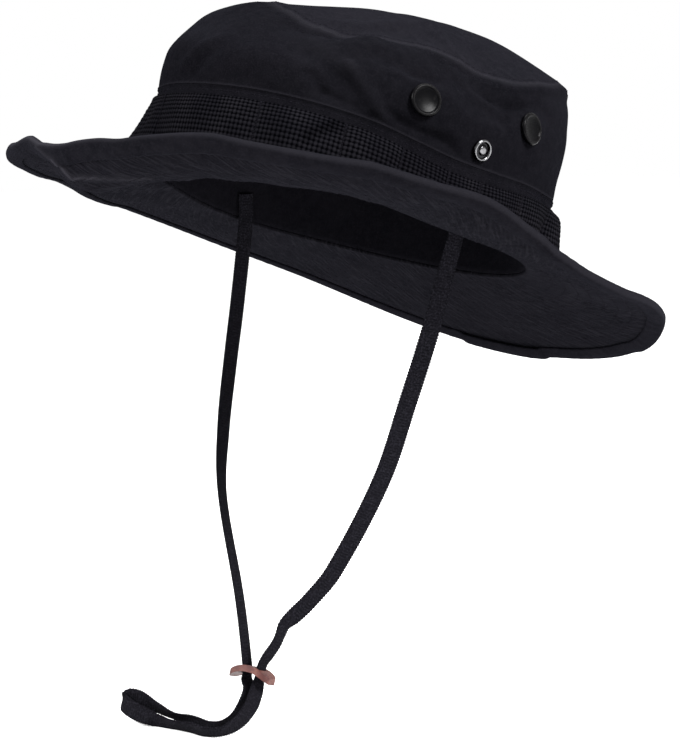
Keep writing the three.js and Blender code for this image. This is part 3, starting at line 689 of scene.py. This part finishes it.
def crown_side(finish):
    start = TUCK_SEAM + SEWN_GAP / PER_LEVEL["wall"]

    def level_of(along):
        """The rows lie closer together near the wall's foot, where its ridge is."""
        return start + (TOP_SEAM - start) * along ** 1.3

    # paler along both seams and on the creases that stand out: partly wear, partly painted highlight
    def rubbed(across, along):
        angle, up = 360 * across, section("up", level_of(along))
        ridges = sum(-fold_depth(crease, angle, up) for crease in CREASES if crease.depth < 0)
        seams = hill(SECTIONS[TOP_SEAM].up - up, PALE_WEAR_AND_HIGHLIGHT["groove"])
        foot = up - SECTIONS[TUCK_SEAM].up - PALE_WEAR_AND_HIGHLIGHT["ridge_above"]
        seams = seams + PALE_WEAR_AND_HIGHLIGHT["on_ridge"] * hill(foot, PALE_WEAR_AND_HIGHLIGHT["ridge"])
        return PALE_WEAR_AND_HIGHLIGHT["on_creases"] * ridges + seams

    return crown_cloth("crown_side_wall", "crown_side", finish, CLOTHS["wall"], level_of,
                       wall_outwards, rubbed=rubbed)


def base_outwards(angle, level):
    return tuck_seam(angle, section("up", level))


def crown_base(finish):
    start, end = BASE_FOOT / SECTIONS[1].up, TUCK_SEAM - SEWN_GAP / PER_LEVEL["base"]

    def level_of(along):
        return start + (end - start) * along

    return crown_cloth("crown_base_cloth", "crown_base", finish, CLOTHS["base"], level_of,
                       base_outwards)


def loop_proud(angle, row):
    """How far the webbing stands proud of its seat: pinched to nothing at each bar tack."""
    first = LOOPS[0].start
    turned_on = first + np.mod(angle - first, 360)
    proud = np.zeros(np.broadcast(angle, row).shape)
    for loop in LOOPS:
        part = np.clip((turned_on - loop.start) / (loop.end - loop.start), 0, 1)
        lean = 0.35 + 0.65 * np.sin(np.pi * row)
        if loop.flare:
            lean = np.clip(1 - row, 0, 1) ** loop.flare
        proud = np.maximum(proud, loop.proud * lean * np.sin(np.pi * part) ** 0.8)
    return proud


def band_outwards(angle, row):
    """The webbing's outer face over the crown, at a row 0 at its foot and 1 at its top."""
    up = WEBBING["bottom"] + (WEBBING["top"] - WEBBING["bottom"]) * row
    proud = loop_proud(angle, row)
    pressed = sum(fold_depth(crease, angle, up) for crease in BAND_CREASES)
    sway = crinkle("webbing", angle, row)
    return SEAM_GAP + WEBBING["thickness"] + np.maximum(proud - pressed + sway * np.minimum(proud, 1), 0)


def band_point(angle, row, outwards):
    bottom, top = level_at(WEBBING["bottom"]), level_at(WEBBING["top"])
    return crown_point(angle, bottom + (top - bottom) * row, outwards)


def rounded(place, passes_over):
    """The height of a thread across its own width: it rises over every other thread it crosses."""
    off = place - np.round(place)
    return np.sqrt(np.clip(1 - (2 * off) ** 2, 0, 1)) * (0.45 + 0.55 * (0.5 + 0.5 * passes_over))


def foliage_band(finish):
    """Webbing in a plain weave of thick threads, with hollows between them that its finish darkens as
    painted shade.
    """
    around_picks = 2 * round(WEBBING_MAP[0] / WEAVE["pitch"] / 2)
    high_picks = round((WEBBING["top"] - WEBBING["bottom"]) / WEAVE["pitch"])
    outer = WEBBING_FACE

    def row_of(along):
        back = np.clip((along - outer) / (1 - outer), 0, 1)
        return np.where(back > 0, 1 - ease(back, 0.25, 0.75), np.clip(along / outer, 0, 1)), back

    def thread(across, along):
        row, back = row_of(along)
        place, height = across * around_picks, row * high_picks
        warp = rounded(place, np.cos(np.pi * np.round(place)) * np.cos(np.pi * height))
        weft = rounded(height, -np.cos(np.pi * np.round(height)) * np.cos(np.pi * place))
        return np.maximum(warp, weft) * (back == 0)

    def shape(across, along):
        angle = 360 * across
        row, back = row_of(along)
        wall = WEBBING["thickness"] * ease(back, 0, 0.25) * (1 - ease(back, 0.75, 1))
        hollow = WEAVE["relief"] * (1 - thread(across, along)) * (back == 0)
        return tipped(band_point(angle, row, band_outwards(angle, row) - wall - hollow))

    cells = (4 * around_picks, 4 * high_picks + 6)
    band = woven("foliage_band_webbing", cells, WEBBING_MAP, shape, thread=thread)
    return dress(band, finish, "webbing", "foliage_band")


def brim_relief(angle, along):
    """The brim's fine shape: small puckers drawn up by its rows of stitching, and soft waves."""
    in_from_rim = (1 - along) * around(BRIM_ROWS, "width", angle)
    patches = 0.6 + crinkle("brim patches", angle, along)
    puckers = crinkle("brim puckers", angle, along) * patches * ease(in_from_rim, BOUND, BOUND + 6)
    waves = crinkle("brim waves", angle, along) * ease(in_from_rim, BOUND, BOUND + 11)
    # the brim lies plain where it is sewn to the crown
    return (puckers + waves) * ease(along, 0, 0.08)


def brim_face(angle, along, over=0, beyond=0):
    return brim_point(angle, along, over + brim_relief(angle, along), beyond)


def brim(finish):
    def shape(across, along):
        return tipped(brim_face(360 * across, 1 - along))

    # paler along the brim's creases: partly wear, partly painted highlight
    def rubbed(across, along):
        return np.maximum(PALE_WEAR_AND_HIGHLIGHT_BRIM * crease_depth(360 * across, CLOTHS["brim"][1][1] * along), 0)

    cloth = woven("brim_cloth", *CLOTHS["brim"], shape, rubbed=rubbed)
    add_wall(cloth, BRIM["thickness"], 0)
    return dress(cloth, finish, "cloth", "brim")


def brim_binding(finish):
    """A tape folded over the rim, a soft channel in section."""
    end = BINDING["clearance"] + BINDING["cloth"] / 2
    middle = BRIM["thickness"] / 2 + BINDING["clearance"] + BINDING["cloth"] / 2
    roll = BINDING["roll"]

    def in_from_rim(along):
        """How far round the tape a place is from its middle, and how far in from the rim: half
        the tape lies on top of the brim, half below, and it rolls over the rim between."""
        travel = (along - 0.5) * 2 * (BINDING["seen"] + roll / 2)
        return travel, np.maximum(np.abs(travel) - roll / 2, 0)

    def shape(across, along):
        angle = 360 * across
        width = around(BRIM_ROWS, "width", angle)
        travel, inward = in_from_rim(along)
        turn = np.clip(travel / roll, -0.5, 0.5) * np.pi
        # the tape's turned-in edge hugs the cloth, and its middle swells a little
        part = inward / BINDING["seen"]
        hug = 0.35 * ease(part, 0.86, 1) - 0.3 * np.sin(np.pi * np.clip(part / 0.8, 0, 1))
        pucker = crinkle("binding", angle, along) * (0.3 + 0.7 * part)
        lap = LAP["height"] * ease(angle, *LAP["rises"]) * (1 - ease(angle, *LAP["falls"]))
        over = (middle - hug + lap) * np.sin(turn) + pucker * np.sign(travel)
        beyond = np.where(inward > 0, 0, (end + lap) * np.cos(turn))
        return tipped(brim_point(angle, 1 - inward / width, over, beyond))

    # paler about the rolled middle, round the front and along the creases: partly wear, partly painted
    # highlight
    def rubbed(across, along):
        angle = 360 * across
        worn = PALE_WEAR_AND_HIGHLIGHT_BINDING
        front = 1 + worn["front"] * hill(turn_between(worn["angle"], angle), worn["spread"])
        rim = worn["share"] * front * hill(along - 0.5, worn["width"])
        return np.maximum(rim, PALE_WEAR_AND_HIGHLIGHT_BRIM * crease_depth(angle, in_from_rim(along)[1]))

    tape = woven("brim_binding_tape", *CLOTHS["binding"], shape, rubbed=rubbed)
    add_wall(tape, BINDING["cloth"], 0)
    return dress(tape, finish, "cloth", "brim_binding")


def one_stitch():
    """A short length of thread, thin at both ends where it dives into the cloth."""
    deselect()
    bpy.ops.mesh.primitive_uv_sphere_add(segments=5, ring_count=3, radius=0.5)
    stitch = named("stitch")
    shape = corners(stitch)[:, [2, 0, 1]]
    faces = [list(face.vertices) for face in stitch.data.polygons]
    bpy.data.objects.remove(stitch)
    return shape, faces


def stitching(name, finish, slot, rows):
    """One mesh of stitches: each row gives its stitches' middles, ends ahead, lifts and lengths."""
    shape, faces = one_stitch()
    points, polygons = [], []
    for middle, ahead, out, length in rows:
        ahead, out = unit(ahead), unit(out)
        side = np.cross(out, ahead)
        size = np.array([length, STITCH["thread"] * 1.3, STITCH["thread"]])
        flat = shape * size
        placed = (middle[:, None] + flat[None, :, 0, None] * ahead[:, None]
                  + flat[None, :, 1, None] * side[:, None] + flat[None, :, 2, None] * out[:, None])
        for copy in placed:
            first = len(points)
            points.extend(copy)
            polygons.extend([[first + corner for corner in face] for face in faces])
    mesh = bpy.data.meshes.new(name)
    mesh.from_pydata([tuple(point) for point in tipped(points)], [], polygons)
    piece = bpy.data.objects.new(name, mesh)
    bpy.context.collection.objects.link(piece)
    only(piece)
    bpy.ops.object.shade_smooth()
    return dress(piece, finish, slot)


def stitches(face, angle, half_turn, length):
    """Stitches at some angles on a face given as a function of angle and lift."""
    middle = face(angle, 0)
    ahead = face(angle + half_turn, 0) - face(angle - half_turn, 0)
    return middle, ahead, face(angle, 1) - middle, length


def ring_of_stitches(face, length):
    """Stitches end to end round the hat."""
    count = round(length / STITCH["pitch"])
    angle = (np.arange(count) + 0.5) * 360 / count
    return stitches(face, angle, STITCH["length"] / length * 180, STITCH["length"])


def crown_stitching(finish):
    def on_crown_at(level, outwards):
        def face(angle, lift):
            return crown_point(angle, level, outwards(angle, np.full_like(angle, level)) + lift)
        return face

    base_up, base_length = CROWN_STITCHES["base"]
    wall_up, wall_length = CROWN_STITCHES["wall"]
    in_from_seam, panel_length = CROWN_STITCHES["panel"]
    panel_level = TOP_SEAM + in_from_seam / PER_LEVEL["panel"]
    return stitching("crown_stitching", finish, "cloth", [
        ring_of_stitches(on_crown_at(level_at(base_up), base_outwards), base_length),
        ring_of_stitches(on_crown_at(level_at(wall_up), wall_outwards), wall_length),
        ring_of_stitches(on_crown_at(panel_level, panel_outwards), panel_length),
    ])


def inside_rim(point, in_from_rim, over):
    """A line on the brim's face or its binding's, above the brim or below it, for its stitches."""
    def face(angle, lift):
        along = 1 - in_from_rim / around(BRIM_ROWS, "width", angle)
        return point(angle, along, over + lift * np.sign(over))
    return face


def brim_stitching(finish):
    half = BRIM["thickness"] / 2
    rows = []
    for in_from_rim in BRIM_STITCH_ROWS:
        length = RIM_LENGTH - math.tau * in_from_rim
        for over in (half, -half):
            rows.append(ring_of_stitches(inside_rim(brim_face, in_from_rim, over), length))
    return stitching("brim_stitching", finish, "cloth", rows)


def binding_stitching(finish):
    half = BRIM["thickness"] / 2 + BINDING["clearance"] + BINDING["cloth"] - BINDING["sunk"]
    faces = [inside_rim(brim_point, BINDING["stitched"], over) for over in (half, -half)]
    rows = [ring_of_stitches(face, BINDING_STITCH_LENGTH) for face in faces]
    return stitching("binding_stitching", finish, "cloth", rows)


def bar_tacks(finish):
    """A dense ladder of thread across the webbing at the foot of each loop."""
    count = round(BAR_TACK["length"] / BAR_TACK["pitch"])
    row = np.linspace(BAR_TACK["inset"], 1 - BAR_TACK["inset"], count)

    def face(angle, lift):
        return band_point(angle, row, SEAM_GAP + WEBBING["thickness"] + BAR_TACK["lift"] + lift)

    starts = [np.full_like(row, float(loop.start)) for loop in LOOPS]
    rows = [stitches(face, start, 0.5, BAR_TACK["width"]) for start in starts]
    return stitching("bar_tacks", finish, "webbing", rows)


def turned(name, profile, sides, rubbed):
    """A turned piece on +Z: a ring of corners set to the profile's radius and height pairs, spun
    round the axis. A share kept at each radius makes it paler or darker there: partly wear, partly painted
    highlight and painted shade."""
    deselect()
    bpy.ops.mesh.primitive_circle_add(vertices=len(profile), radius=1)
    piece = named(name)
    move_corners(piece, in_metres([(radius, 0, height) for radius, height in profile]))
    whole_turn = {"steps": sides, "angle": math.tau, "center": (0, 0, 0), "axis": (0, 0, 1)}
    edit((bpy.ops.mesh.spin, whole_turn),
         (bpy.ops.mesh.remove_doubles, {"threshold": SEWN_UP}),
         (bpy.ops.mesh.dissolve_degenerate, {"threshold": SEWN_UP / 2}),
         (bpy.ops.mesh.normals_make_consistent, {"inside": False}))
    bpy.ops.object.shade_smooth_by_angle(angle=math.radians(38))
    radii, shares = zip(*rubbed)
    keep(piece, "rubbed", np.interp(np.linalg.norm(corners(piece)[:, :2], axis=1) / MM, radii, shares))
    return piece


def seat(piece, radius, face):
    """Seats a turned piece on a face: its axis follows the face's normal, clear of the cloth."""
    reach = radius * np.array([[0, 0], [1, 0], [-1, 0], [0, 1], [0, -1]])
    middle, east, west, north, south = face(reach[:, 0], reach[:, 1])
    normal = unit(np.cross(east - west, north - south))
    lift = max(0, *(float((point - middle) @ normal) for point in (east, west, north, south)))
    turn = Vector((0, 0, 1)).rotation_difference(Vector(normal)).to_matrix()
    points = corners(piece) @ np.array(turn).T / MM + middle + normal * (lift + SEAT_GAP)
    move_corners(piece, tipped(points))
    return piece


def on_crown(place, side):
    angle = place.angle if side == "left" else 360 - place.angle
    return lambda across, upward: crown_point(
        angle + across / UNROLLED,
        np.array([level_at(place.up + rise) for rise in upward]),
    )


def on_brim(side):
    middle = BRIM_SNAP["angle"] if side == "left" else 360 - BRIM_SNAP["angle"]

    def face(across, inward):
        angle = middle + np.degrees(across / HEAD_OPENING["half_length"] / 1.5)
        along = BRIM_SNAP["along"] - inward / around(BRIM_ROWS, "width", angle)
        return brim_point(angle, along, BRIM["thickness"] / 2)

    return face


def vent_disc(name):
    return turned(name, [
        (0, 0), (7.2, 0), (7.6, 0.15), (7.8, 0.6), (7.75, 1.1), (7.4, 1.6), (7.0, 1.85), (6.6, 1.9),
        (6.2, 1.75), (5.95, 1.5), (5.8, 1.35), (5.4, 1.3), (4.4, 1.08), (3, 0.88), (1.5, 0.78), (0, 0.75),
    # the rim's crest gets the highest share and is paler: partly wear, partly painted highlight
    ], 64, [(0, 0.3), (5, 0.1), (6, 0), (6.6, 1), (7.2, 0.6), (7.8, 0)])


def snap_socket(name):
    return turned(name, [
        (0, 0), (5.0, 0), (5.3, 0.2), (5.4, 0.7), (5.25, 1.2), (4.9, 1.55), (4.5, 1.7), (4.1, 1.6),
        (3.85, 1.3), (3.65, 0.8), (3.5, 0.6), (2.7, 0.6), (2.35, 0.75), (2.2, 1.1), (1.8, 1.4),
        (1.2, 1.5), (0, 1.52),
    # low shares in the well and at the foot's edge: painted shade
    ], 56, [(0, 1), (1.6, 0.9), (2.2, 0.1), (3.6, 0), (4.1, 0.8), (4.6, 1), (5.1, 0.5), (5.4, 0.1)])


def snap_stud(name):
    return turned(name, [
        (0, 0), (5.1, 0), (5.4, 0.2), (5.4, 0.5), (5.1, 0.8), (4.6, 1.0), (3.2, 1.05), (2.6, 1.1),
        (2.2, 1.25), (2.1, 1.7), (2.3, 2.2), (2.45, 2.6), (2.35, 3.0), (1.9, 3.3), (1.2, 3.4), (0, 3.4),
    # low shares under the stud's head and at its foot's edge: painted shade
    ], 56, [(0, 1), (2.4, 0.9), (2.8, 0.2), (3.4, 0.2), (4.6, 1), (5.4, 0.3)])


def hardware(black_metal, nickel):
    for side in ("left", "right"):
        for place, spot in VENTS.items():
            vent = seat(vent_disc(f"vent_disc_{side}_{place}"), VENT["radius"], on_crown(spot, side))
            dress(vent, black_metal, "black_metal", f"vent_{side}_{place}")
        socket = seat(snap_socket(f"snap_socket_{side}"), SNAP["radius"], on_crown(CROWN_SNAP, side))
        dress(socket, nickel, "nickel", f"snap_crown_{side}")
        stud = seat(snap_stud(f"snap_stud_{side}"), SNAP["radius"], on_brim(side))
        dress(stud, nickel, "nickel", f"snap_brim_{side}")


def slot_cutter(middle):
    deselect()
    bpy.ops.mesh.primitive_cube_add(size=1)
    cutter = named("slot_cutter")
    size = [SLIDER_SLOT["width"], SLIDER_SLOT["length"], 4 * SLIDER["thickness"]]
    move_corners(cutter, in_metres(corners(cutter) * size + [middle, 0, 0]))
    return cutter


def strap_slider(finish):
    """The leather slider: an arched plate with rounded ends and a slot for each run of the tape."""
    deselect()
    bpy.ops.mesh.primitive_cube_add(size=1)
    slider = named("strap_slider_leather")
    edit((bpy.ops.mesh.subdivide, {"number_cuts": SLIDER["cuts"]}))
    flat = corners(slider)
    along = flat[:, 0] * SLIDER["length"]
    ends, widths = zip(*SLIDER_OUTLINE)
    across = flat[:, 1] * np.interp(np.abs(along), ends, widths)
    move_corners(slider, in_metres(np.stack([along, across, flat[:, 2] * SLIDER["thickness"]], axis=-1)))
    for side in (-1, 1):
        cutter = slot_cutter(side * SLIDER_SLOT["apart"] / 2)
        only(slider)
        cut = slider.modifiers.new("slot", "BOOLEAN")
        cut.object = cutter
        cut.solver = "EXACT"
        bpy.ops.object.modifier_apply(modifier=cut.name)
        bpy.data.objects.remove(cutter)
    flat = corners(slider) / MM
    bow = SLIDER["arch"] / 3 - SLIDER["arch"] * (flat[:, 0] / (SLIDER["length"] / 2)) ** 2
    place = SLIDER_PLACE
    turn = (Matrix.Rotation(math.radians(place["turn"]), 3, "Z")
            @ Matrix.Rotation(math.radians(-place["lean_back"]), 3, "X")
            @ Matrix.Rotation(math.radians(place["dip"]), 3, "Y"))
    bent = flat + np.stack([0 * bow, 0 * bow, bow], axis=-1)
    middle = [place["x"], place["y"], place["z"]]
    move_corners(slider, in_metres(bent @ np.array(turn).T + middle))
    only(slider)
    edge = slider.modifiers.new("edge", "BEVEL")
    edge.width = SLIDER["edge"] * MM
    edge.segments = 2
    edge.limit_method = "ANGLE"
    bpy.ops.object.modifier_apply(modifier=edge.name)
    bpy.ops.object.shade_smooth_by_angle(angle=math.radians(40))
    return dress(slider, finish, "leather", "strap_slider")


class Value:
    """A socket of a finish. Python's operators on it add Math nodes."""

    def __init__(self, finish, socket):
        self.finish = finish
        self.socket = socket

    def math(self, operation, *values):
        return self.finish.node("ShaderNodeMath", {"operation": operation}, values)

    def __add__(self, other):
        return self.math("ADD", self, other)

    def __radd__(self, other):
        return self.math("ADD", other, self)

    def __sub__(self, other):
        return self.math("SUBTRACT", self, other)

    def __rsub__(self, other):
        return self.math("SUBTRACT", other, self)

    def __mul__(self, other):
        return self.math("MULTIPLY", self, other)

    def __rmul__(self, other):
        return self.math("MULTIPLY", other, self)

    def other(self, output):
        """Another output of the same node."""
        return Value(self.finish, self.socket.node.outputs[output])

    def wave(self):
        return self.math("SINE", self)

    def ramp(self, low, high, to_low=0, to_high=1):
        """A smooth step from one value to another."""
        settings = {"interpolation_type": "SMOOTHSTEP"}
        return self.finish.node("ShaderNodeMapRange", settings, [self, low, high, to_low, to_high])


class Finish:
    """A material in the making, on its Principled shader."""

    def __init__(self, name, **constants):
        self.material = bpy.data.materials.new(name)
        self.material.use_nodes = True
        self.tree = self.material.node_tree
        self.shader = self.tree.nodes["Principled BSDF"]
        for socket, value in constants.items():
            self.feed(self.shader.inputs[socket.replace("_", " ").title().replace("Ior", "IOR")], value)

    def feed(self, socket, value):
        if isinstance(value, Value):
            self.tree.links.new(value.socket, socket)
        elif isinstance(value, tuple) and len(value) == 3 and socket.type == "RGBA":
            socket.default_value = (*value, 1)
        else:
            socket.default_value = value

    def node(self, kind, settings=None, inputs=(), output=0):
        """Adds a node: its settings first, then its sockets by number or name."""
        made = self.tree.nodes.new(kind)
        for setting, value in (settings or {}).items():
            setattr(made, setting, value)
        pairs = inputs.items() if isinstance(inputs, dict) else enumerate(inputs)
        for socket, value in pairs:
            self.feed(made.inputs[socket], value)
        return Value(self, made.outputs[output])

    def kept(self, name):
        """A value that the piece keeps on its corners."""
        return self.node("ShaderNodeAttribute", {"attribute_name": name}, output="Fac")

    def place(self):
        """The place on the object, in metres."""
        return self.node("ShaderNodeTexCoord", output="Object")

    def map(self):
        """Millimetres across and along the cloth."""
        flat = self.node("ShaderNodeTexCoord", output="UV")
        parts = [self.node("ShaderNodeSeparateXYZ", None, [flat], output) for output in (0, 1)]
        return [part * 100 for part in parts]

    def streaks(self, wide, long):
        """Noise drawn out at a slant to the cloth: so many millimetres wide and long."""
        across, along = self.map()
        slanted = [(across - along) * (1 / wide), along * (1 / long), 0.0]
        place = self.node("ShaderNodeCombineXYZ", None, slanted)
        inputs = {"Vector": place, "Scale": 1.0, "Detail": 2}
        return self.node("ShaderNodeTexNoise", {"noise_dimensions": "2D"}, inputs)

    def noise(self, per_metre, detail=2, roughness=0.5):
        settings = {"noise_dimensions": "3D"}
        inputs = {"Vector": self.place(), "Scale": per_metre, "Detail": detail, "Roughness": roughness}
        return self.node("ShaderNodeTexNoise", settings, inputs)

    def specks(self, per_metre, radius, share):
        """Small round specks: so many cells a metre, their radius as a share of a cell, and how
        many of the cells have one."""
        inputs = {"Vector": self.place(), "Scale": per_metre, "Randomness": 1.0}
        distance = self.node("ShaderNodeTexVoronoi", None, inputs, "Distance")
        chosen = self.node("ShaderNodeSeparateColor", None, [distance.other("Color")])
        return distance.ramp(radius, radius * 0.6) * chosen.ramp(share, share * 0.98)

    def mix(self, factor, one, other):
        settings = {"data_type": "RGBA"}
        return self.node("ShaderNodeMix", settings, {0: factor, 6: one, 7: other}, output=2)

    def bump(self, height, millimetres, below=None):
        """Raises the surface by a height of 0 to 1 times so many millimetres."""
        inputs = {"Strength": 1.0, "Distance": millimetres * MM, "Height": height}
        if below:
            inputs["Normal"] = below
        return self.node("ShaderNodeBump", None, inputs)

    def wear(self, colour, roughness, surface=None):
        """Feeds what changes over the surface, and hands over the finished material."""
        self.feed(self.shader.inputs["Base Color"], colour)
        self.feed(self.shader.inputs["Roughness"], roughness)
        if surface:
            self.feed(self.shader.inputs["Normal"], surface)
        return self.material


# The blacks of the cloth, from its hollows to its ridges, its palest along seams and creases (partly wear,
# partly painted highlight) and its lint
BLACKS = [
    (0.0032, 0.0031, 0.0042), (0.0048, 0.0046, 0.006), (0.0076, 0.0072, 0.0092),
    (0.0115, 0.011, 0.0136),
]
PALEST_WEAR_AND_HIGHLIGHT = (0.016, 0.0153, 0.0185)
LINT = (0.025, 0.025, 0.028)
THREAD_PITCH = 0.62


def black_cloth(name, tone, drawn_up=False):
    """Tight black cotton: a fine plain weave, a soft mottle, a little lint and a dull sheen. Where
    rows of stitching draw it up, it is ridged across them and paler on the ridges: partly wear, partly
    painted highlight."""
    finish = Finish(name, specular_ior_level=0.0, sheen_weight=0.008, sheen_roughness=0.45,
                    sheen_tint=(0.75, 0.78, 1.0))
    across, along = finish.map()
    thread = math.tau / THREAD_PITCH
    weave = (across * thread).wave() * (along * thread).wave() * 0.5 + 0.5
    mottle = finish.noise(240, detail=4)
    grain = finish.noise(1100)
    broad = finish.noise(28)
    lint = finish.specks(150, 0.045, 0.1)
    deep, middling, faded, pale = (tuple(tone * share for share in colour) for colour in BLACKS)
    colour = finish.mix(mottle.ramp(0.3, 0.75), deep, middling)
    colour = finish.mix(grain.ramp(0.45, 0.75) * 0.6, colour, faded)
    colour = finish.mix(broad.ramp(0.35, 0.7) * 0.25, colour, faded)
    surface = finish.bump(weave, 0.05)
    surface = finish.bump(mottle, 0.3, surface)
    if drawn_up:
        ridges = finish.streaks(2, 12)
        # paler on the streaks' ridges: partly wear, partly painted highlight
        colour = finish.mix(ridges.ramp(0.45, 0.72) * 0.5, colour, pale)
        surface = finish.bump(ridges, 0.75, surface)
    # seams, ridges and creases painted paler: partly wear, partly painted highlight
    rubbed = finish.kept("rubbed")
    colour = finish.mix(rubbed.ramp(0, 1, 0, 0.6), colour, pale)
    colour = finish.mix(rubbed.ramp(0.8, 1.3), colour, PALEST_WEAR_AND_HIGHLIGHT)
    colour = finish.mix(lint * 0.5, colour, LINT)
    return finish.wear(colour, mottle.ramp(0.2, 0.8, 0.78, 0.92), surface)


def webbing_black(name):
    """Coarse black webbing: raised threads over hollows painted near-black, a painted shade."""
    finish = Finish(name, specular_ior_level=0.0, sheen_weight=0.005, sheen_roughness=0.4)
    fuzz = finish.noise(900)
    worn = finish.noise(60)
    lit = finish.mix(worn.ramp(0.35, 0.7), (0.0055, 0.0053, 0.0068), (0.0088, 0.0084, 0.0103))
    # below the threads' tops the colour falls to near-black: painted shade in the hollows
    colour = finish.mix(finish.kept("thread").ramp(0.55, 1), (0.0005, 0.0005, 0.0008), lit)
    surface = finish.bump(fuzz, 0.12)
    return finish.wear(colour, fuzz.ramp(0.3, 0.7, 0.6, 0.85), surface)


def tape_black(name):
    """The strap's narrow tape: fine slanting threads, darker between them and at its edges as painted
    shade, and speckled with painted glints where their fibres catch the light.
    """
    finish = Finish(name, specular_ior_level=0.0, sheen_weight=0.01, sheen_roughness=0.4)
    fuzz = finish.noise(1400, detail=3)
    raised = finish.kept("thread").ramp(0.1, 0.9)
    # darker where the threads sink and towards the tape's edges: painted shade
    colour = finish.mix(raised, (0.003, 0.0029, 0.0038), (0.0056, 0.0054, 0.007))
    # pale specks: painted glints where the fibres catch the light
    colour = finish.mix(fuzz.ramp(0.48, 0.66) * 0.75, colour, (0.013, 0.0124, 0.016))
    surface = finish.bump(fuzz, 0.2)
    return finish.wear(colour, fuzz.ramp(0.3, 0.7, 0.65, 0.85), surface)


def black_thread(name):
    finish = Finish(name, specular_ior_level=0.0)
    twist = finish.noise(1500, detail=1)
    colour = finish.mix(twist.ramp(0.3, 0.7), (0.0036, 0.0034, 0.0046), (0.0075, 0.0071, 0.0093))
    return finish.wear(colour, twist.ramp(0.2, 0.8, 0.45, 0.65))


def blackened_metal(name):
    """Glossy black lacquer on brass, worn a little by handling; its rim's crest is paler, partly wear and
    partly painted highlight.
    """
    finish = Finish(name, specular_ior_level=0.03)
    rub = finish.noise(420, detail=4, roughness=0.6)
    smear = finish.noise(90)
    # the kept share paints the rim's crest paler: partly wear, partly painted highlight
    worn = rub.ramp(0.62, 0.8) * 0.3 + finish.kept("rubbed") * 0.14
    colour = finish.mix(worn, (0.0012, 0.0012, 0.0015), (0.02, 0.019, 0.019))
    surface = finish.bump(rub, 0.02)
    return finish.wear(colour, smear.ramp(0.3, 0.7, 0.2, 0.3), surface)


def nickel_plate(name):
    """Nickel: bright on its ring and dome, darker in random patches of tarnish, and darkened in its well,
    under its stud's head and at its foot as painted shade.
    """
    finish = Finish(name, metallic=1.0)
    tarnish = finish.noise(500, detail=3)
    # the kept share is low in the well, under the stud's head and at the foot: painted shade there
    bright = finish.kept("rubbed").ramp(0.1, 0.95) * tarnish.ramp(0.8, 0.35, 0.6, 1)
    colour = finish.mix(bright, (0.012, 0.012, 0.013), (0.13, 0.13, 0.135))
    surface = finish.bump(tarnish, 0.015)
    return finish.wear(colour, tarnish.ramp(0.3, 0.75, 0.12, 0.24), surface)


def brown_leather(name):
    """Red-brown leather with a pebbled grain and paler rubbed patches."""
    finish = Finish(name, specular_ior_level=0.25)
    grain = finish.noise(1300, detail=3)
    patches = finish.noise(240, detail=3)
    colour = finish.mix(patches.ramp(0.35, 0.65), (0.04, 0.01, 0.0085), (0.085, 0.029, 0.023))
    colour = finish.mix(grain.ramp(0.5, 0.8) * 0.5, colour, (0.022, 0.005, 0.0045))
    surface = finish.bump(grain, 0.12)
    surface = finish.bump(patches, 0.25, surface)
    return finish.wear(colour, grain.ramp(0.3, 0.7, 0.45, 0.65), surface)


def pale_floor(name):
    return Finish(name, base_color=(1.0, 1.0, 1.0), roughness=0.95, specular_ior_level=0.0).material


def studio():
    """A plain pale floor under the strap's loop, a white room and soft lights."""
    deselect()
    bpy.ops.mesh.primitive_plane_add(size=12, location=(0, 0, CAD_BOX[0][2] - 0.5 * MM))
    floor = named("floor")
    floor.data.materials.append(pale_floor("pale_floor"))
    world = bpy.data.worlds.new("white_room")
    world.use_nodes = True
    world.node_tree.nodes["Background"].inputs["Color"].default_value = (1, 1, 1, 1)
    world.node_tree.nodes["Background"].inputs["Strength"].default_value = 1
    bpy.context.scene.world = world
    for name, place, size, watts in (
        ("key", (1.74, 0.47, 1.26), 0.6, 110),
        ("fill", (-0.49, -1.84, 1.1), 0.9, 78),
        ("top", (-0.1, 0.3, 2.2), 0.9, 28),
    ):
        lamp = bpy.data.objects.new(name, bpy.data.lights.new(name, "AREA"))
        lamp.data.size = size
        lamp.data.energy = watts
        lamp.location = place
        lamp.rotation_euler = Vector(place).to_track_quat("Z", "Y").to_euler()
        bpy.context.collection.objects.link(lamp)
    bpy.context.scene.view_settings.view_transform = "Standard"


camera()
wall_cloth = black_cloth("black_wall_cloth", 0.68)
# the top panel's cloth is given a lighter tone than the wall's: painted light falling from above
top_cloth = black_cloth("black_top_cloth", 1.08)
tape_cloth = black_cloth("black_binding_cloth", 0.85)
brim_cloth = black_cloth("black_brim_cloth", 0.75, drawn_up=True)
thread = black_thread("black_thread")

strap, strap_length = chin_strap(tape_black("black_tape"))
slider = strap_slider(brown_leather("brown_leather"))
route = strap_line(np.linspace(0, 1, 160))[0]
in_metres(route[0])
strap_length * MM
in_metres(route)
crown_top(top_cloth)
crown_side(wall_cloth)
crown_base(wall_cloth)
crown_stitching(thread)
foliage_band(webbing_black("black_webbing"))
bar_tacks(thread)
brim(brim_cloth)
brim_stitching(thread)
brim_binding(tape_cloth)
binding_stitching(thread)
hardware(blackened_metal("black_lacquer"), nickel_plate("nickel"))
studio()
